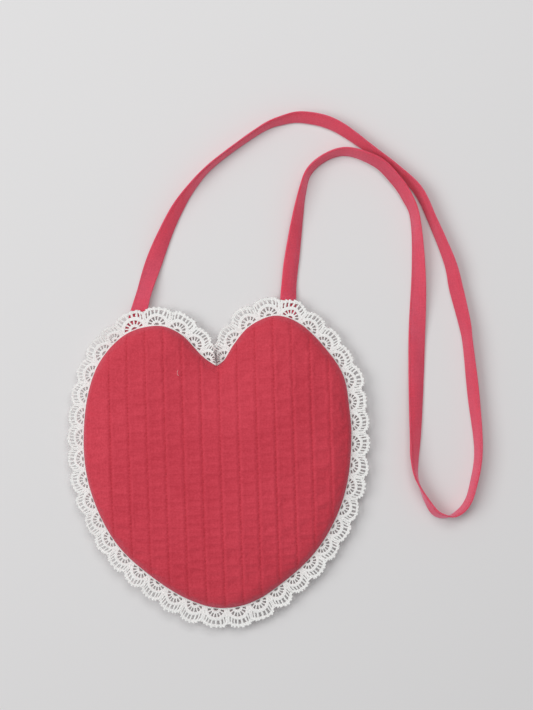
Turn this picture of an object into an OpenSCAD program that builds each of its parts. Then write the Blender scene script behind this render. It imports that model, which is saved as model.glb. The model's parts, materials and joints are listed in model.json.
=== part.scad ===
// Heart shaped quilted purse with a gathered lace edging, a long flat shoulder strap
// and a zip across its back panel.
// It lies on its back: +Z points out of the quilted front, +Y towards the two lobes,
// and the origin is under the middle of the heart, on the surface that the back rests on.

/* [Heart] */
// Width of the heart, without its lace
heart_w = 163; // [150:1:190]
// Height of the heart, from the tip to the taller lobe
heart_h = 178; // [165:1:205]
// Height of the middle of the seam above the surface that the back rests on
seam_h = 7; // [6.8:0.1:8]
// How far the edging and the turned cloth reach into the seam
seam_margin = 3; // [2:0.1:3.4]
// Puffed height of the front's edge above the seam
edge_puff = 5; // [3:0.1:7]
// Width over which the front's edge rounds over
edge_reach = 10; // [7:0.5:14]
// Further rise of the front from its edge to its middle
front_crown = 7; // [5:0.1:10]
// Distance from the seam over which the front goes on rising
dome_reach = 60; // [40:1:75]
// Width over which the back's edge curves up to the seam
back_reach = 16; // [12:0.5:20]

/* [Cloth] */
// Thickness of the outer cotton, with its quilted backing
shell_t = 0.8; // [0.6:0.1:1]
// Thickness of the wadding in the front
front_wadding_t = 2.5; // [1.5:0.1:2.8]
// Thickness of the cotton lining
lining_t = 0.6; // [0.4:0.1:0.8]
// Gap left between two layers
layer_gap = 0.3; // [0.2:0.05:0.4]
// Distance between two quilting lines
quilt_pitch = 11.1; // [9:0.1:14]
// Sideways shift of the middle quilting line from the heart's middle
quilt_shift = 2.4; // [-3:0.1:3]
// Depth of a quilting line in the front
front_quilt_depth = 1.1; // [0.5:0.1:1.4]
// Depth of a quilting line in the back, which is pressed flat
back_quilt_depth = 0.7; // [0.3:0.1:0.9]

/* [Lace] */
// Width of the lace that shows beyond the seam
lace_w = 10.8; // [9:0.1:13]
// Thickness of the lace
lace_t = 0.8; // [0.6:0.1:1]
// Distance between two scallops, along the seam
scallop_pitch = 12.8; // [12:0.1:15]
// Radius of the hole at the root of each scallop
lace_eye_r = 1.3; // [0.8:0.1:1.5]
// Start of the fan of slots, from the seam
fan_start = 5.4; // [5:0.1:6]
// Width of the lace outside the fan of slots
lace_rim = 2.3; // [1.8:0.1:2.6]

/* [Zip] */
// Distance of the zip below the notch between the lobes
zip_drop = 18; // [17:0.5:26]
// Opening between the two halves of the back
zip_window = 10; // [9:0.1:11]
// Distance from each side of the heart to the end of the row of teeth
zip_end_gap = 22; // [20.5:0.5:36]
// Distance between two teeth of one row
tooth_pitch = 2.4; // [2.2:0.1:3]
// Height of the middle of the tape above the surface that the back rests on
tape_h = 4.3; // [4.2:0.05:4.4]
// Thickness of the woven tape
tape_t = 0.5; // [0.4:0.05:0.6]
// Distance over which the back folds in towards the zip
fold_reach = 6; // [4:0.5:7]
// Length of the slider
slider_len = 10; // [9:0.1:11]
// Width of the slider's wide end
slider_w = 7.6; // [7:0.1:8]
// Length of the pull, from its hinge to its end
pull_len = 19; // [14:0.5:24]
// Width of the pull
pull_w = 5.6; // [5:0.1:6.4]
// Thickness of the pull
pull_t = 0.9; // [0.7:0.05:1]

/* [Strap] */
// Width of the flat strap
strap_w = 10.2; // [9:0.1:11]
// Thickness of the flat strap
strap_t = 1.2; // [1:0.05:1.4]
// Length of strap that is sewn inside the seam
strap_sewn_len = 5; // [4:0.1:5.6]
// Turn of the left end of the strap from straight up
strap_angle_left = -16; // [-20:1:0]
// Turn of the right end of the strap from straight up
strap_angle_right = -4; // [-12:1:0]

/* [Hidden] */

red_cotton = "#C5414E";
pink_red_cotton = "#D25064";
lining_cotton = "#E3B5B5";
wadding_white = "#F2F0EA";
lace_cotton = "#EBE8E4";
zip_red = "#A92F3C";
zip_brass = "#C2A14D";

// One overrun serves all cuts
cut_over = 1;

// Heart outline: shares of half the width and half the height, clockwise from the notch
heart_knot_shares = [
  [-0.006, 0.654], [0.055, 0.700], [0.125, 0.805], [0.245, 0.930], [0.431, 1.000],
  [0.620, 0.942], [0.805, 0.778], [0.940, 0.590], [0.986, 0.360], [1.000, 0.149],
  [0.970, -0.140], [0.876, -0.400], [0.715, -0.633], [0.490, -0.824], [0.258, -0.960],
  [0.020, -1.000], [-0.210, -0.944], [-0.452, -0.812], [-0.708, -0.610], [-0.866, -0.388],
  [-0.970, -0.120], [-1.000, 0.163], [-0.965, 0.470], [-0.868, 0.700], [-0.680, 0.875],
  [-0.446, 0.930], [-0.270, 0.868], [-0.130, 0.735], [-0.055, 0.680], [-0.006, 0.654]
];
right_knot = 9;
left_knot = 21;
left_top_knot = 25;
right_top_knot = 4;
steps_per_span = 6;

half_w = heart_w / 2;
half_h = heart_h / 2;
spans = len(heart_knot_shares) - 1;
knots = [for (s = heart_knot_shares) [s.x * half_w, s.y * half_h]];

function before(i) = i == 0 ? 2 * knots[0] - knots[1] : knots[i - 1];
function after(i) = i == spans ? 2 * knots[spans] - knots[spans - 1] : knots[i + 1];

// A point of the outline, and the direction there, at q spans past the notch
function curve(a, b, c, d, f) =
  0.5 * (2 * b + (c - a) * f + (2 * a - 5 * b + 4 * c - d) * f * f + (3 * b - a - 3 * c + d) * f * f * f);
function curve_dir(a, b, c, d, f) =
  0.5 * ((c - a) + (4 * a - 10 * b + 8 * c - 2 * d) * f + (9 * b - 3 * a - 9 * c + 3 * d) * f * f);
function wrapped(q) = q > spans ? q - spans : q;
function outline(q) =
  let (w = wrapped(q), i = min(floor(w), spans - 1))
  curve(before(i), knots[i], knots[i + 1], after(i + 1), w - i);
function outline_dir(q) =
  let (
    w = wrapped(q),
    i = min(floor(w), spans - 1),
    t = curve_dir(before(i), knots[i], knots[i + 1], after(i + 1), w - i)
  )
  t / norm(t);
function at_notch(q) = q < 0.001 || abs(q - spans) < 0.001;
function inward(q) = let (t = outline_dir(q)) at_notch(q) ? [0, -1] : [t.y, -t.x];
function inset_point(q, inset) = outline(q) + inset * inward(q);

// Shortest distance from a point to the outline
outline_points = [for (i = [0 : spans * steps_per_span - 1]) outline(i / steps_per_span)];
function segment_distance(p, a, b) =
  let (ab = b - a, t = max(0, min(1, ((p - a) * ab) / (ab * ab))))
  norm(p - a - t * ab);
function outline_distance(p) =
  let (n = len(outline_points))
  min([for (i = [0 : n - 1]) segment_distance(p, outline_points[i], outline_points[(i + 1) % n])]);

// Where the outline passes a given x or y
top_table = [
  for (i = [left_knot * steps_per_span : (spans + right_knot) * steps_per_span])
    [outline(i / steps_per_span).x, i / steps_per_span]
];
bottom_table = [
  for (i = [0 : (left_knot - right_knot) * steps_per_span])
    let (q = left_knot - i / steps_per_span) [outline(q).x, q]
];
left_table = [
  for (i = [left_knot * steps_per_span : left_top_knot * steps_per_span])
    [outline(i / steps_per_span).y, i / steps_per_span]
];
right_table = [
  for (i = [0 : (right_knot - right_top_knot) * steps_per_span])
    let (q = right_knot - i / steps_per_span) [outline(q).y, q]
];
function q_top(x) = lookup(x, top_table);
function q_bottom(x) = lookup(x, bottom_table);
function left_x(y) = outline(lookup(y, left_table)).x;
function right_x(y) = outline(lookup(y, right_table)).x;

// Levels of the seam, from the back up: back cloth, lace, front cloth
seam_top = seam_h + lace_t / 2;
seam_bottom = seam_h - lace_t / 2;
shell_inner = seam_margin + 1.25 * shell_t;
lining_inset = strap_sewn_len + strap_w / 4 + layer_gap;
inner_ring = max(edge_reach - shell_t, lining_inset + shell_t);

// Quilting: lines at a steady pitch, and how far the cloth puffs up between them, from 0 to 1
quilt_side_share = 0.12;
quilt_lines = floor((1 - quilt_side_share) * half_w / quilt_pitch);
first_line = quilt_shift - quilt_lines * quilt_pitch;
last_line = quilt_shift + quilt_lines * quilt_pitch;
function line_distance(x) =
  let (n = (x - quilt_shift) / quilt_pitch)
  abs(n - max(-quilt_lines, min(quilt_lines, round(n))));
function puff(x) = pow(sin(180 * min(0.5, line_distance(x))), 0.6);

// A quarter of an ellipse, from 0 at the seam to 1 at the reach
function swell(d, reach) = sqrt(1 - pow(1 - min(d, reach) / reach, 2));
function dome(d) = 1 - pow(1 - min(d, dome_reach) / dome_reach, 2);
function fade(d) = min(1, d / seam_margin);

// Columns of the meshes of cloth, left to right, dense where the outline turns
samples_per_channel = 3;
side_steps = 5;
end_chop = 0.3;
function with_column(cols, x) =
  concat([for (c = cols) if (c < x - lining_t) c], [x], [for (c = cols) if (c > x + lining_t) c]);
even_cols = concat(
  [for (i = [0 : side_steps - 1])
    first_line - (first_line + half_w - end_chop) * cos(90 * i / side_steps)],
  [for (i = [0 : 2 * quilt_lines * samples_per_channel])
    first_line + i * quilt_pitch / samples_per_channel],
  [for (i = [1 : side_steps])
    last_line + (half_w - end_chop - last_line) * sin(90 * i / side_steps)]
);
notch_point = outline(0);
fine_cols = with_column(even_cols, notch_point.x);
function is_coarse(i) =
  i % samples_per_channel == 0 || i == len(even_cols) - 1 || abs(even_cols[i] - notch_point.x) < 1.5 * quilt_pitch;
coarse_cols = with_column([for (i = [0 : len(even_cols) - 1]) if (is_coarse(i)) even_cols[i]], notch_point.x);
function between(cols, low, high) = [for (x = cols) if (x > low && x < high) x];

// A layer of cloth or wadding: columns run from the lower edge to the upper one, and rings
// follow the edge inwards. ends(x, inset) gives both end points of a column, and the inset
// from the seam that each has there.
function column(ends, x, inset, rows) =
  let (e = ends(x, inset))
  [for (j = [0 : rows])
    let (p = e[0] + (e[1] - e[0]) * j / rows)
    [p.x, p.y, x, j == 0 ? e[2] : j == rows ? e[3] : -1]];
function ring(cols, rows, ends, inset) =
  let (last = len(cols) - 1,
    left = column(ends, cols[0], inset, rows),
    right = column(ends, cols[last], inset, rows))
  concat(
    [for (k = [0 : last]) column(ends, cols[k], inset, 1)[0]],
    [for (j = [1 : rows - 1]) [right[j].x, right[j].y, right[j].z, inset]],
    [for (k = [last : -1 : 0]) column(ends, cols[k], inset, 1)[1]],
    [for (j = [rows - 1 : -1 : 1]) [left[j].x, left[j].y, left[j].z, inset]]
  );
function grid(cols, rows, ends, inset) = [for (x = cols) each column(ends, x, inset, rows)];
function seam_distance(p) = p[3] >= 0 ? p[3] : outline_distance([p.x, p.y]);
function lifted(points, height) =
  [for (p = points) [p.x, p.y, height(p.z, seam_distance(p), p.y)]];
function surface_points(cols, rows, ends, rings, height) =
  let (last = len(rings) - 1)
  concat(
    [for (r = [0 : last]) if (r < last) each lifted(ring(cols, rows, ends, rings[r]), height)],
    lifted(grid(cols, rows, ends, rings[last]), height)
  );

// Number in the grid of the i-th point round its edge
function grid_index(i, n, rows) =
  i <= n ? i * (rows + 1)
  : i <= n + rows ? n * (rows + 1) + i - n
  : i <= 2 * n + rows ? (2 * n + rows - i) * (rows + 1) + rows
  : 2 * n + 2 * rows - i;
function triangles(a, b, c, d, upward) =
  upward ? [[a, d, c], [a, c, b]] : [[a, c, d], [a, b, c]];
function surface_faces(n, rows, ring_count, start, upward) =
  let (round_count = 2 * (n + rows), grid_start = start + (ring_count - 1) * round_count)
  concat(
    [for (r = [0 : 1 : ring_count - 2], i = [0 : round_count - 1])
      let (next = (i + 1) % round_count, outer = start + r * round_count)
      each triangles(
        outer + i, outer + next,
        r == ring_count - 2 ? grid_start + grid_index(next, n, rows) : outer + round_count + next,
        r == ring_count - 2 ? grid_start + grid_index(i, n, rows) : outer + round_count + i,
        upward)],
    [for (k = [0 : n - 1], j = [0 : rows - 1])
      let (a = grid_start + k * (rows + 1) + j)
      each triangles(a, a + rows + 1, a + rows + 2, a + 1, upward)]
  );
module layer(cols, rows, ends, over_rings, over, under_rings, under) {
  n = len(cols) - 1;
  round_count = 2 * (n + rows);
  over_points = surface_points(cols, rows, ends, over_rings, over);
  under_points = surface_points(cols, rows, ends, under_rings, under);
  below = len(over_points);
  walls = [
    for (i = [0 : round_count - 1])
      let (
        next = (i + 1) % round_count,
        top_i = len(over_rings) > 1 ? i : grid_index(i, n, rows),
        top_next = len(over_rings) > 1 ? next : grid_index(next, n, rows),
        low_i = below + (len(under_rings) > 1 ? i : grid_index(i, n, rows)),
        low_next = below + (len(under_rings) > 1 ? next : grid_index(next, n, rows))
      )
      each [[top_i, top_next, low_next], [top_i, low_next, low_i]]
  ];
  polyhedron(
    concat(over_points, under_points),
    concat(
      surface_faces(n, rows, len(over_rings), 0, true),
      surface_faces(n, rows, len(under_rings), below, false),
      walls
    ),
    convexity = 10
  );
}

// Heights of the front's surfaces at a distance d from the seam
front_rows = 8;
wadding_rows = 5;
front_wadding_inset = seam_margin + 1.5 * shell_t;
function front_plain(d) = seam_top + shell_t + edge_puff * swell(d, edge_reach) + front_crown * dome(d);
front_over = function (x, d, y) front_plain(d) - front_quilt_depth * (1 - puff(x)) * fade(d);
front_under = function (x, d, y)
  d < (seam_margin + shell_inner) / 2 ? seam_top : front_over(x, d, y) - shell_t;
function wadding_over(d) = front_plain(d) - front_quilt_depth - shell_t - layer_gap;
function front_lining_over(d) = wadding_over(d) - front_wadding_t - layer_gap;

front_ends = function (x, inset)
  [inset_point(q_bottom(x), inset), inset_point(q_top(x), inset), inset, inset];

module front_shell() {
  color(red_cotton)
    layer(
      fine_cols, front_rows, front_ends,
      [0, 0.1 * edge_reach, 0.25 * edge_reach, 0.5 * edge_reach, inner_ring], front_over,
      [0, seam_margin, shell_inner, inner_ring], front_under
    );
}

module front_wadding() {
  color(wadding_white)
    layer(
      coarse_cols, wadding_rows, front_ends,
      [front_wadding_inset, inner_ring], function (x, d, y) wadding_over(d),
      [front_wadding_inset, inner_ring], function (x, d, y) wadding_over(d) - front_wadding_t
    );
}

module front_lining() {
  color(lining_cotton)
    layer(
      coarse_cols, wadding_rows, front_ends,
      [lining_inset, inner_ring], function (x, d, y) front_lining_over(d),
      [lining_inset, inner_ring], function (x, d, y) front_lining_over(d) - lining_t
    );
}

// The back is two halves, which fold in on both sides of the zip
tape_gap = 0.15;
zip_y = notch_point.y - zip_drop;
tape_bottom = tape_h - tape_t / 2;
tape_top = tape_h + tape_t / 2;
lower_edge_y = zip_y - zip_window / 2;
upper_edge_y = zip_y + zip_window / 2;
back_rise = seam_bottom - shell_t;
fold_rise = tape_bottom - tape_gap - shell_t;
back_inset = shell_inner + 1.25 * shell_t;
lower_back_inset = 0.6 * back_reach;
back_wadding_top = tape_top;
back_lining_bottom = back_wadding_top + layer_gap;
function fold_distance(y) = abs(y - zip_y) - zip_window / 2;
function back_outside(x, d, y) =
  let (e = max(0, fold_distance(y)))
  max(back_rise * (1 - swell(d, back_reach)), fold_rise * (1 - swell(e, fold_reach)))
  + back_quilt_depth * (1 - puff(x)) * fade(d) * fade(e);
back_under = function (x, d, y) back_outside(x, d, y);
back_over = function (x, d, y)
  d < (seam_margin + shell_inner) / 2 ? seam_bottom : back_outside(x, d, y) + shell_t;
back_wadding_inset = seam_margin + 2.25 * shell_t;
back_wadding_under = function (x, d, y)
  back_rise * (1 - swell(d, back_reach)) + fold_rise * (1 - swell(max(0, fold_distance(y)), fold_reach))
  + back_quilt_depth + shell_t + layer_gap;
level = function (z) function (x, d, y) z;

// Ends of the columns of the lower half, inset from the seam and from the folded edge
lower_ends = function (fold) function (x, inset)
  let (
    top = inset_point(q_top(x), inset),
    fold_y = lower_edge_y - fold - inset,
    at_fold = top.y > fold_y,
    p = at_fold ? [x * (1 - (inset + fold) / half_w), fold_y] : top
  )
  [inset_point(q_bottom(x), inset), p, inset, at_fold ? outline_distance(p) : inset];

// Where the strap passes through the seam, the upper half is notched
strap_x_left_share = -0.63;
strap_x_right_share = 0.522;
strap_x_left = strap_x_left_share * half_w;
strap_x_right = strap_x_right_share * half_w;
notch_depth = shell_inner + shell_t / 2;
notch_half = strap_w / 2 + notch_depth * sin(abs(strap_angle_left)) + 2 * layer_gap;
notch_slope = layer_gap / 3;
function in_notch(x) = abs(x - strap_x_left) < notch_half || abs(x - strap_x_right) < notch_half;

upper_side_rise = 0.9 * zip_window;
upper_side_lean = 1.3;
upper_left = left_x(upper_edge_y + upper_side_rise);
upper_right = right_x(upper_edge_y + upper_side_rise);
upper_corner_left = left_x(upper_edge_y);
upper_corner_right = right_x(upper_edge_y);
function notch_cols(x) =
  [for (step = [-notch_half - notch_slope, -notch_half + notch_slope, 0, notch_half - notch_slope,
    notch_half + notch_slope]) x + step];
upper_cols = concat(
  [upper_left],
  between(fine_cols, upper_left + seam_margin, strap_x_left - notch_half - lining_t),
  notch_cols(strap_x_left),
  between(fine_cols, strap_x_left + notch_half + lining_t, strap_x_right - notch_half - lining_t),
  notch_cols(strap_x_right),
  between(fine_cols, strap_x_right + notch_half + lining_t, upper_right - seam_margin),
  [upper_right]
);
coarse_upper_cols = concat(
  [upper_left],
  between(coarse_cols, upper_left + seam_margin, upper_right - seam_margin),
  [upper_right]
);
function corner_x(x) = x == upper_left ? upper_corner_left : x == upper_right ? upper_corner_right : x;
upper_ends = function (fold, notched) function (x, inset)
  let (
    deeper = notched && in_notch(x) ? inset + notch_depth : inset,
    p = [corner_x(x) * (1 - upper_side_lean * inset / half_w), upper_edge_y + fold + inset]
  )
  [p, inset_point(q_top(x), deeper), outline_distance(p), deeper];

lower_rows = 5;
upper_rows = 2;
lining_fold = 2 * seam_margin / 3 - lining_inset;

module back_shell_lower() {
  color(red_cotton)
    layer(
      fine_cols, lower_rows, lower_ends(0),
      [0, seam_margin, shell_inner, lower_back_inset], back_over,
      [0, seam_margin / 2, back_inset, lower_back_inset], back_under
    );
}

module back_shell_upper() {
  color(red_cotton)
    layer(
      upper_cols, upper_rows, upper_ends(0, true),
      [0, seam_margin, shell_inner, back_inset], back_over,
      [0, seam_margin / 2, back_inset], back_under
    );
}

module back_wadding_lower() {
  color(wadding_white)
    layer(
      coarse_cols, lower_rows, lower_ends(0),
      [back_wadding_inset, lower_back_inset], level(back_wadding_top),
      [back_wadding_inset, lower_back_inset], back_wadding_under
    );
}

module back_wadding_upper() {
  color(wadding_white)
    layer(
      coarse_upper_cols, upper_rows, upper_ends(0, false), [back_wadding_inset], level(back_wadding_top),
      [back_wadding_inset], back_wadding_under
    );
}

module back_lining_lower() {
  color(lining_cotton)
    layer(
      coarse_cols, lower_rows, lower_ends(lining_fold), [lining_inset], level(back_lining_bottom + lining_t),
      [lining_inset], level(back_lining_bottom)
    );
}

module back_lining_upper() {
  color(lining_cotton)
    layer(
      coarse_upper_cols, upper_rows, upper_ends(lining_fold, false),
      [lining_inset], level(back_lining_bottom + lining_t),
      [lining_inset], level(back_lining_bottom)
    );
}

// Lace edging: one round scallop after another, each with an eye and a fan of slots
step_lengths = [
  for (i = [0 : len(outline_points) - 1])
    norm(outline_points[(i + 1) % len(outline_points)] - outline_points[i])
];
function total(list, count) = count == 0 ? 0 : list[count - 1] + total(list, count - 1);
length_table = [for (i = [0 : len(step_lengths)]) [total(step_lengths, i), i / steps_per_span]];
perimeter = length_table[len(step_lengths)][0];
scallop_count = round(perimeter / scallop_pitch);
function scallop_q(i) = lookup((i + 0.5) * perimeter / scallop_count, length_table);
fan_angles = [-40, -20, 0, 20, 40];
fan_slot_angle = 6.5;
lace_eye_out_share = 0.26;
eye_facets = 16;
fan_slot_len = lace_w - fan_start - lace_rim;

module fan_slot(angle) {
  near = fan_start;
  far = fan_start + fan_slot_len;
  polygon([
    for (corner = [[near, -1], [far, -1], [far, 1], [near, 1]])
      let (a = angle + corner[1] * fan_slot_angle)
      corner[0] * [sin(a), cos(a)]
  ]);
}

module scallop_holes(i) {
  q = scallop_q(i);
  out = -inward(q);
  clear_of_notch = norm(outline(q) - notch_point) > lace_w * 1.3;
  translate(outline(q))
    rotate(atan2(out.y, out.x) - 90) {
      translate([0, lace_eye_out_share * lace_w])
        circle(r = lace_eye_r, $fn = eye_facets);
      if (clear_of_notch)
        for (angle = fan_angles)
          fan_slot(angle);
    }
}

module lace_trim() {
  color(lace_cotton)
    translate([0, 0, seam_bottom])
      linear_extrude(lace_t)
        difference() {
          for (i = [0 : scallop_count - 1])
            translate(outline(scallop_q(i)))
              circle(r = lace_w, $fn = 64);
          polygon([for (i = [0 : len(outline_points) - 1]) inset_point(i / steps_per_span, seam_margin)]);
          for (i = [0 : scallop_count - 1])
            scallop_holes(i);
        }
}

// Zip: two tapes with a row of teeth each, which mesh along the middle
tooth_h = 1.6;
tooth_len_share = 0.42;
tooth_reach = 0.6;
bead_in = 1.2;
bead_out = 2;
tape_hem = 3.7;
tape_side_gap = 0.2;
tape_wing = zip_window / 2 + tape_hem;
tongue_out = zip_window / 2 - tape_side_gap;
seam_half = min(-upper_corner_left, upper_corner_right);
tape_flat_half = seam_half - 1.5 * seam_margin;
tape_wing_half = tape_flat_half - 1.25 * seam_margin;
tongue_half = seam_half - 2 * layer_gap;
zip_teeth_len = heart_w - 2 * zip_end_gap;
slider_x = zip_teeth_len / 2 - slider_len / 4;
teeth_start = -zip_teeth_len / 2;
teeth_end = slider_x + slider_len * 0.05;
tooth_count = floor((teeth_end - teeth_start) / tooth_pitch);
tooth_len = tooth_len_share * tooth_pitch;

// One tape, on the side of +Y from the zip's middle
module zip_tape() {
  translate([-tape_wing_half, bead_out, tape_bottom])
    cube([2 * tape_wing_half, tape_wing - bead_out, tape_t]);
  translate([-tape_flat_half, bead_out, tape_bottom])
    cube([2 * tape_flat_half, tongue_out - bead_out, tape_t]);
  translate([0, tongue_out, 0])
    rotate([90, 0, 0])
      linear_extrude(tongue_out - bead_out)
        for (side = [-1, 1])
          polygon([
            [side * (tape_flat_half - tape_t), tape_bottom],
            [side * tape_flat_half, tape_bottom],
            [side * (tongue_half - seam_margin), seam_bottom - tape_t],
            [side * tongue_half, seam_bottom - tape_t],
            [side * tongue_half, seam_bottom],
            [side * (tongue_half - seam_margin - tape_t), seam_bottom],
            [side * (tape_flat_half - tape_t), tape_top]
          ]);
}

// One row of teeth on its bead, on the side of +Y, shifted along the zip
module zip_teeth(shift) {
  translate([teeth_start, bead_in, tape_h - tooth_h / 2])
    cube([teeth_end - teeth_start, bead_out - bead_in, tooth_h]);
  for (i = [0 : tooth_count - 1])
    translate([teeth_start + shift + i * tooth_pitch, -tooth_reach, tape_h - tooth_h / 2])
      cube([tooth_len, (bead_in + bead_out) / 2 + tooth_reach, tooth_h]);
}

module zip_tape_upper() {
  color(zip_red)
    translate([0, zip_y, 0])
      zip_tape();
}

module zip_tape_lower() {
  color(zip_red)
    translate([0, zip_y, 0])
      mirror([0, 1, 0])
        zip_tape();
}

module zip_teeth_upper() {
  color(zip_brass)
    translate([0, zip_y, 0])
      zip_teeth(0);
}

module zip_teeth_lower() {
  color(zip_brass)
    translate([0, zip_y, 0])
      mirror([0, 1, 0])
        zip_teeth(tooth_pitch / 2);
}

stop_len = 2;
stop_gap = 0.3;
module zip_top_stops() {
  color(zip_brass)
    for (side = [-1, 1])
      translate([
        slider_x + slider_len / 2 + stop_gap,
        zip_y + (side > 0 ? bead_in : -bead_out),
        tape_h - tooth_h / 2
      ])
        cube([stop_len, bead_out - bead_in, tooth_h]);
}

module zip_bottom_stop() {
  color(zip_brass)
    translate([teeth_start - stop_len, zip_y - bead_out, tape_h - tooth_h / 2])
      cube([stop_len, 2 * bead_out, tooth_h]);
}

// Slider: two plates with side rails, joined by a wedge, and a bridge that holds the pull
plate_t = 0.8;
plate_play = 0.2;
plate_gap = tooth_h + 2 * plate_play;
rail_t = 0.7;
rail_h = 0.5;
slider_tail_share = 0.76;
slider_round = 1;
wedge_len = 2.4;
wedge_w = 1.2;
outer_plate_top = tape_h - plate_gap / 2;
inner_plate_bottom = tape_h + plate_gap / 2;
bridge_w = 1.8;
bridge_t = 0.6;
bridge_len = 6;
bridge_bottom = 0.3;
pin_play = 0.15;
pin_r = pull_t / 2;
pin_h = bridge_bottom + bridge_t + pin_play + pin_r;

module slider_outline() {
  tail_w = slider_tail_share * slider_w;
  polygon([
    [-slider_len / 2, -tail_w / 2 + slider_round],
    [-slider_len / 2 + slider_round, -tail_w / 2],
    [slider_len / 6, -slider_w / 2],
    [slider_len / 2 - slider_round, -slider_w / 2],
    [slider_len / 2, -slider_w / 2 + slider_round],
    [slider_len / 2, slider_w / 2 - slider_round],
    [slider_len / 2 - slider_round, slider_w / 2],
    [slider_len / 6, slider_w / 2],
    [-slider_len / 2 + slider_round, tail_w / 2],
    [-slider_len / 2, tail_w / 2 - slider_round]
  ]);
}

module slider_rails() {
  difference() {
    slider_outline();
    for (side = [-1, 1])
      polygon([
        [-slider_len / 2 - cut_over, side * (slider_tail_share * slider_w / 2 - rail_t)],
        [-slider_len / 2 + slider_round, side * (slider_tail_share * slider_w / 2 - rail_t)],
        [slider_len / 6, side * (slider_w / 2 - rail_t)],
        [slider_len / 2 + cut_over, side * (slider_w / 2 - rail_t)],
        [slider_len / 2 + cut_over, 0],
        [-slider_len / 2 - cut_over, 0]
      ]);
  }
}

module zip_slider() {
  color(zip_brass)
    translate([slider_x, zip_y, 0]) {
      for (z = [outer_plate_top - plate_t, inner_plate_bottom])
        translate([0, 0, z])
          linear_extrude(plate_t)
            slider_outline();
      for (z = [outer_plate_top, inner_plate_bottom - rail_h])
        translate([0, 0, z])
          linear_extrude(rail_h)
            slider_rails();
      translate([slider_len / 2 - wedge_len - slider_round / 2, 0, outer_plate_top])
        linear_extrude(plate_gap)
          polygon([
            [0, 0], [wedge_len / 2, -wedge_w / 2], [wedge_len, -wedge_w / 2],
            [wedge_len, wedge_w / 2], [wedge_len / 2, wedge_w / 2]
          ]);
      translate([0, bridge_w / 2, 0])
        rotate([90, 0, 0])
          linear_extrude(bridge_w)
            difference() {
              polygon([
                [-bridge_len / 2, outer_plate_top - plate_t],
                [-bridge_len / 2, bridge_bottom + bridge_t],
                [-bridge_len / 2 + bridge_t, bridge_bottom],
                [bridge_len / 2 - bridge_t, bridge_bottom],
                [bridge_len / 2, bridge_bottom + bridge_t],
                [bridge_len / 2, outer_plate_top - plate_t]
              ]);
              translate([-bridge_len / 2 + bridge_t, bridge_bottom + bridge_t])
                square([bridge_len - 2 * bridge_t, outer_plate_top]);
            }
    }
}

// Pull: a pin under the bridge, two arms and a flat tab with a hole near its end
arm_t = 1.1;
pull_eye_len = 4;
pull_hole_r = 1.2;
pull_end_round = 1.8;
module zip_pull() {
  color(zip_brass)
    translate([slider_x, zip_y, pin_h]) {
      rotate([90, 0, 0])
        cylinder(r = pin_r, h = pull_w - arm_t, center = true, $fn = 24);
      for (side = [-1, 1])
        translate([-pull_eye_len - arm_t, side > 0 ? pull_w / 2 - arm_t : -pull_w / 2, -pull_t / 2])
          cube([pull_eye_len + arm_t + pin_r, arm_t, pull_t]);
      translate([0, 0, -pull_t / 2])
        linear_extrude(pull_t)
          difference() {
            polygon([
              [-pull_eye_len, -pull_w / 2],
              [-pull_eye_len, pull_w / 2],
              [-pull_len + pull_end_round, pull_w / 2],
              [-pull_len, pull_w / 2 - pull_end_round],
              [-pull_len, -pull_w / 2 + pull_end_round],
              [-pull_len + pull_end_round, -pull_w / 2]
            ]);
            translate([-pull_len + pull_end_round + pull_hole_r, 0])
              circle(r = pull_hole_r, $fn = 32);
          }
    }
}

// Strap: both ends are sewn under the lace, and the free length is one flat ribbon
strap_top = seam_bottom - layer_gap;
strap_out = 1.5;
strap_lead = 4;
function strap_place(x, angle, out) =
  let (p = [x, outline(q_top(x)).y] + out * [sin(-angle), cos(angle)])
  [p.x, p.y, strap_top - strap_t / 2];
strap_root_left = strap_place(strap_x_left, strap_angle_left, strap_out);
strap_root_right = strap_place(strap_x_right, strap_angle_right, strap_out);

module sewn_end(root, angle) {
  color(pink_red_cotton)
    translate([root.x, root.y, root.z - strap_t / 2])
      rotate(angle)
        translate([-strap_w / 2, -strap_sewn_len - strap_out, 0])
          cube([strap_w, strap_sewn_len + strap_out, strap_t]);
}

module strap_end_left() {
  sewn_end(strap_root_left, strap_angle_left);
}

module strap_end_right() {
  sewn_end(strap_root_right, strap_angle_right);
}

// Route of the strap's middle in millimetres, with its roll in degrees: 0 and 180 lie flat
strap_route = [
  [-45, 103.5, 3.2, 208], [-40, 119.5, 1.8, 186], [-33, 137.5, 3.6, 216], [-24.5, 155, 4.4, 230],
  [-14.5, 169.5, 5.1, 249], [-1.5, 183, 5.2, 258], [25.5, 202.5, 5.1, 255], [39, 208.5, 5, 246],
  [52.5, 210.5, 4.7, 234], [72, 205.5, 4.6, 232], [96, 189, 5, 246], [109, 179, 5, 246],
  [122.5, 166, 5, 242], [131.5, 147.5, 4.7, 232], [142, 122, 4.9, 240], [146, 105.5, 4.1, 221],
  [151, 85, 4.5, 230], [153, 72, 4.9, 240], [156.5, 40.5, 4.6, 233], [159.5, 6.5, 5.1, 249],
  [156, -16, 5.2, 253], [152, -26.5, 5.2, 255], [145.5, -32.5, 5.3, 260], [138.5, -33.5, 5.3, 270],
  [131.5, -29.5, 5.3, 290], [122.5, -12.5, 5.3, 263], [120.5, 0.5, 5, 243], [121, 18, 4.2, 224],
  [122, 72, 1.3, 184], [123, 114.5, 3.9, 142], [121, 147.5, 5.1, 120], [116, 161.5, 5.6, 124],
  [108, 173, 6.2, 126], [96.5, 183.5, 6.2, 123], [76.5, 189.5, 5.3, 112], [58.5, 180.5, 5.2, 110],
  [51.5, 164, 5.1, 116], [45.5, 125, 3.2, 153], [43.5, 106, 3.2, 156]
];
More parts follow.
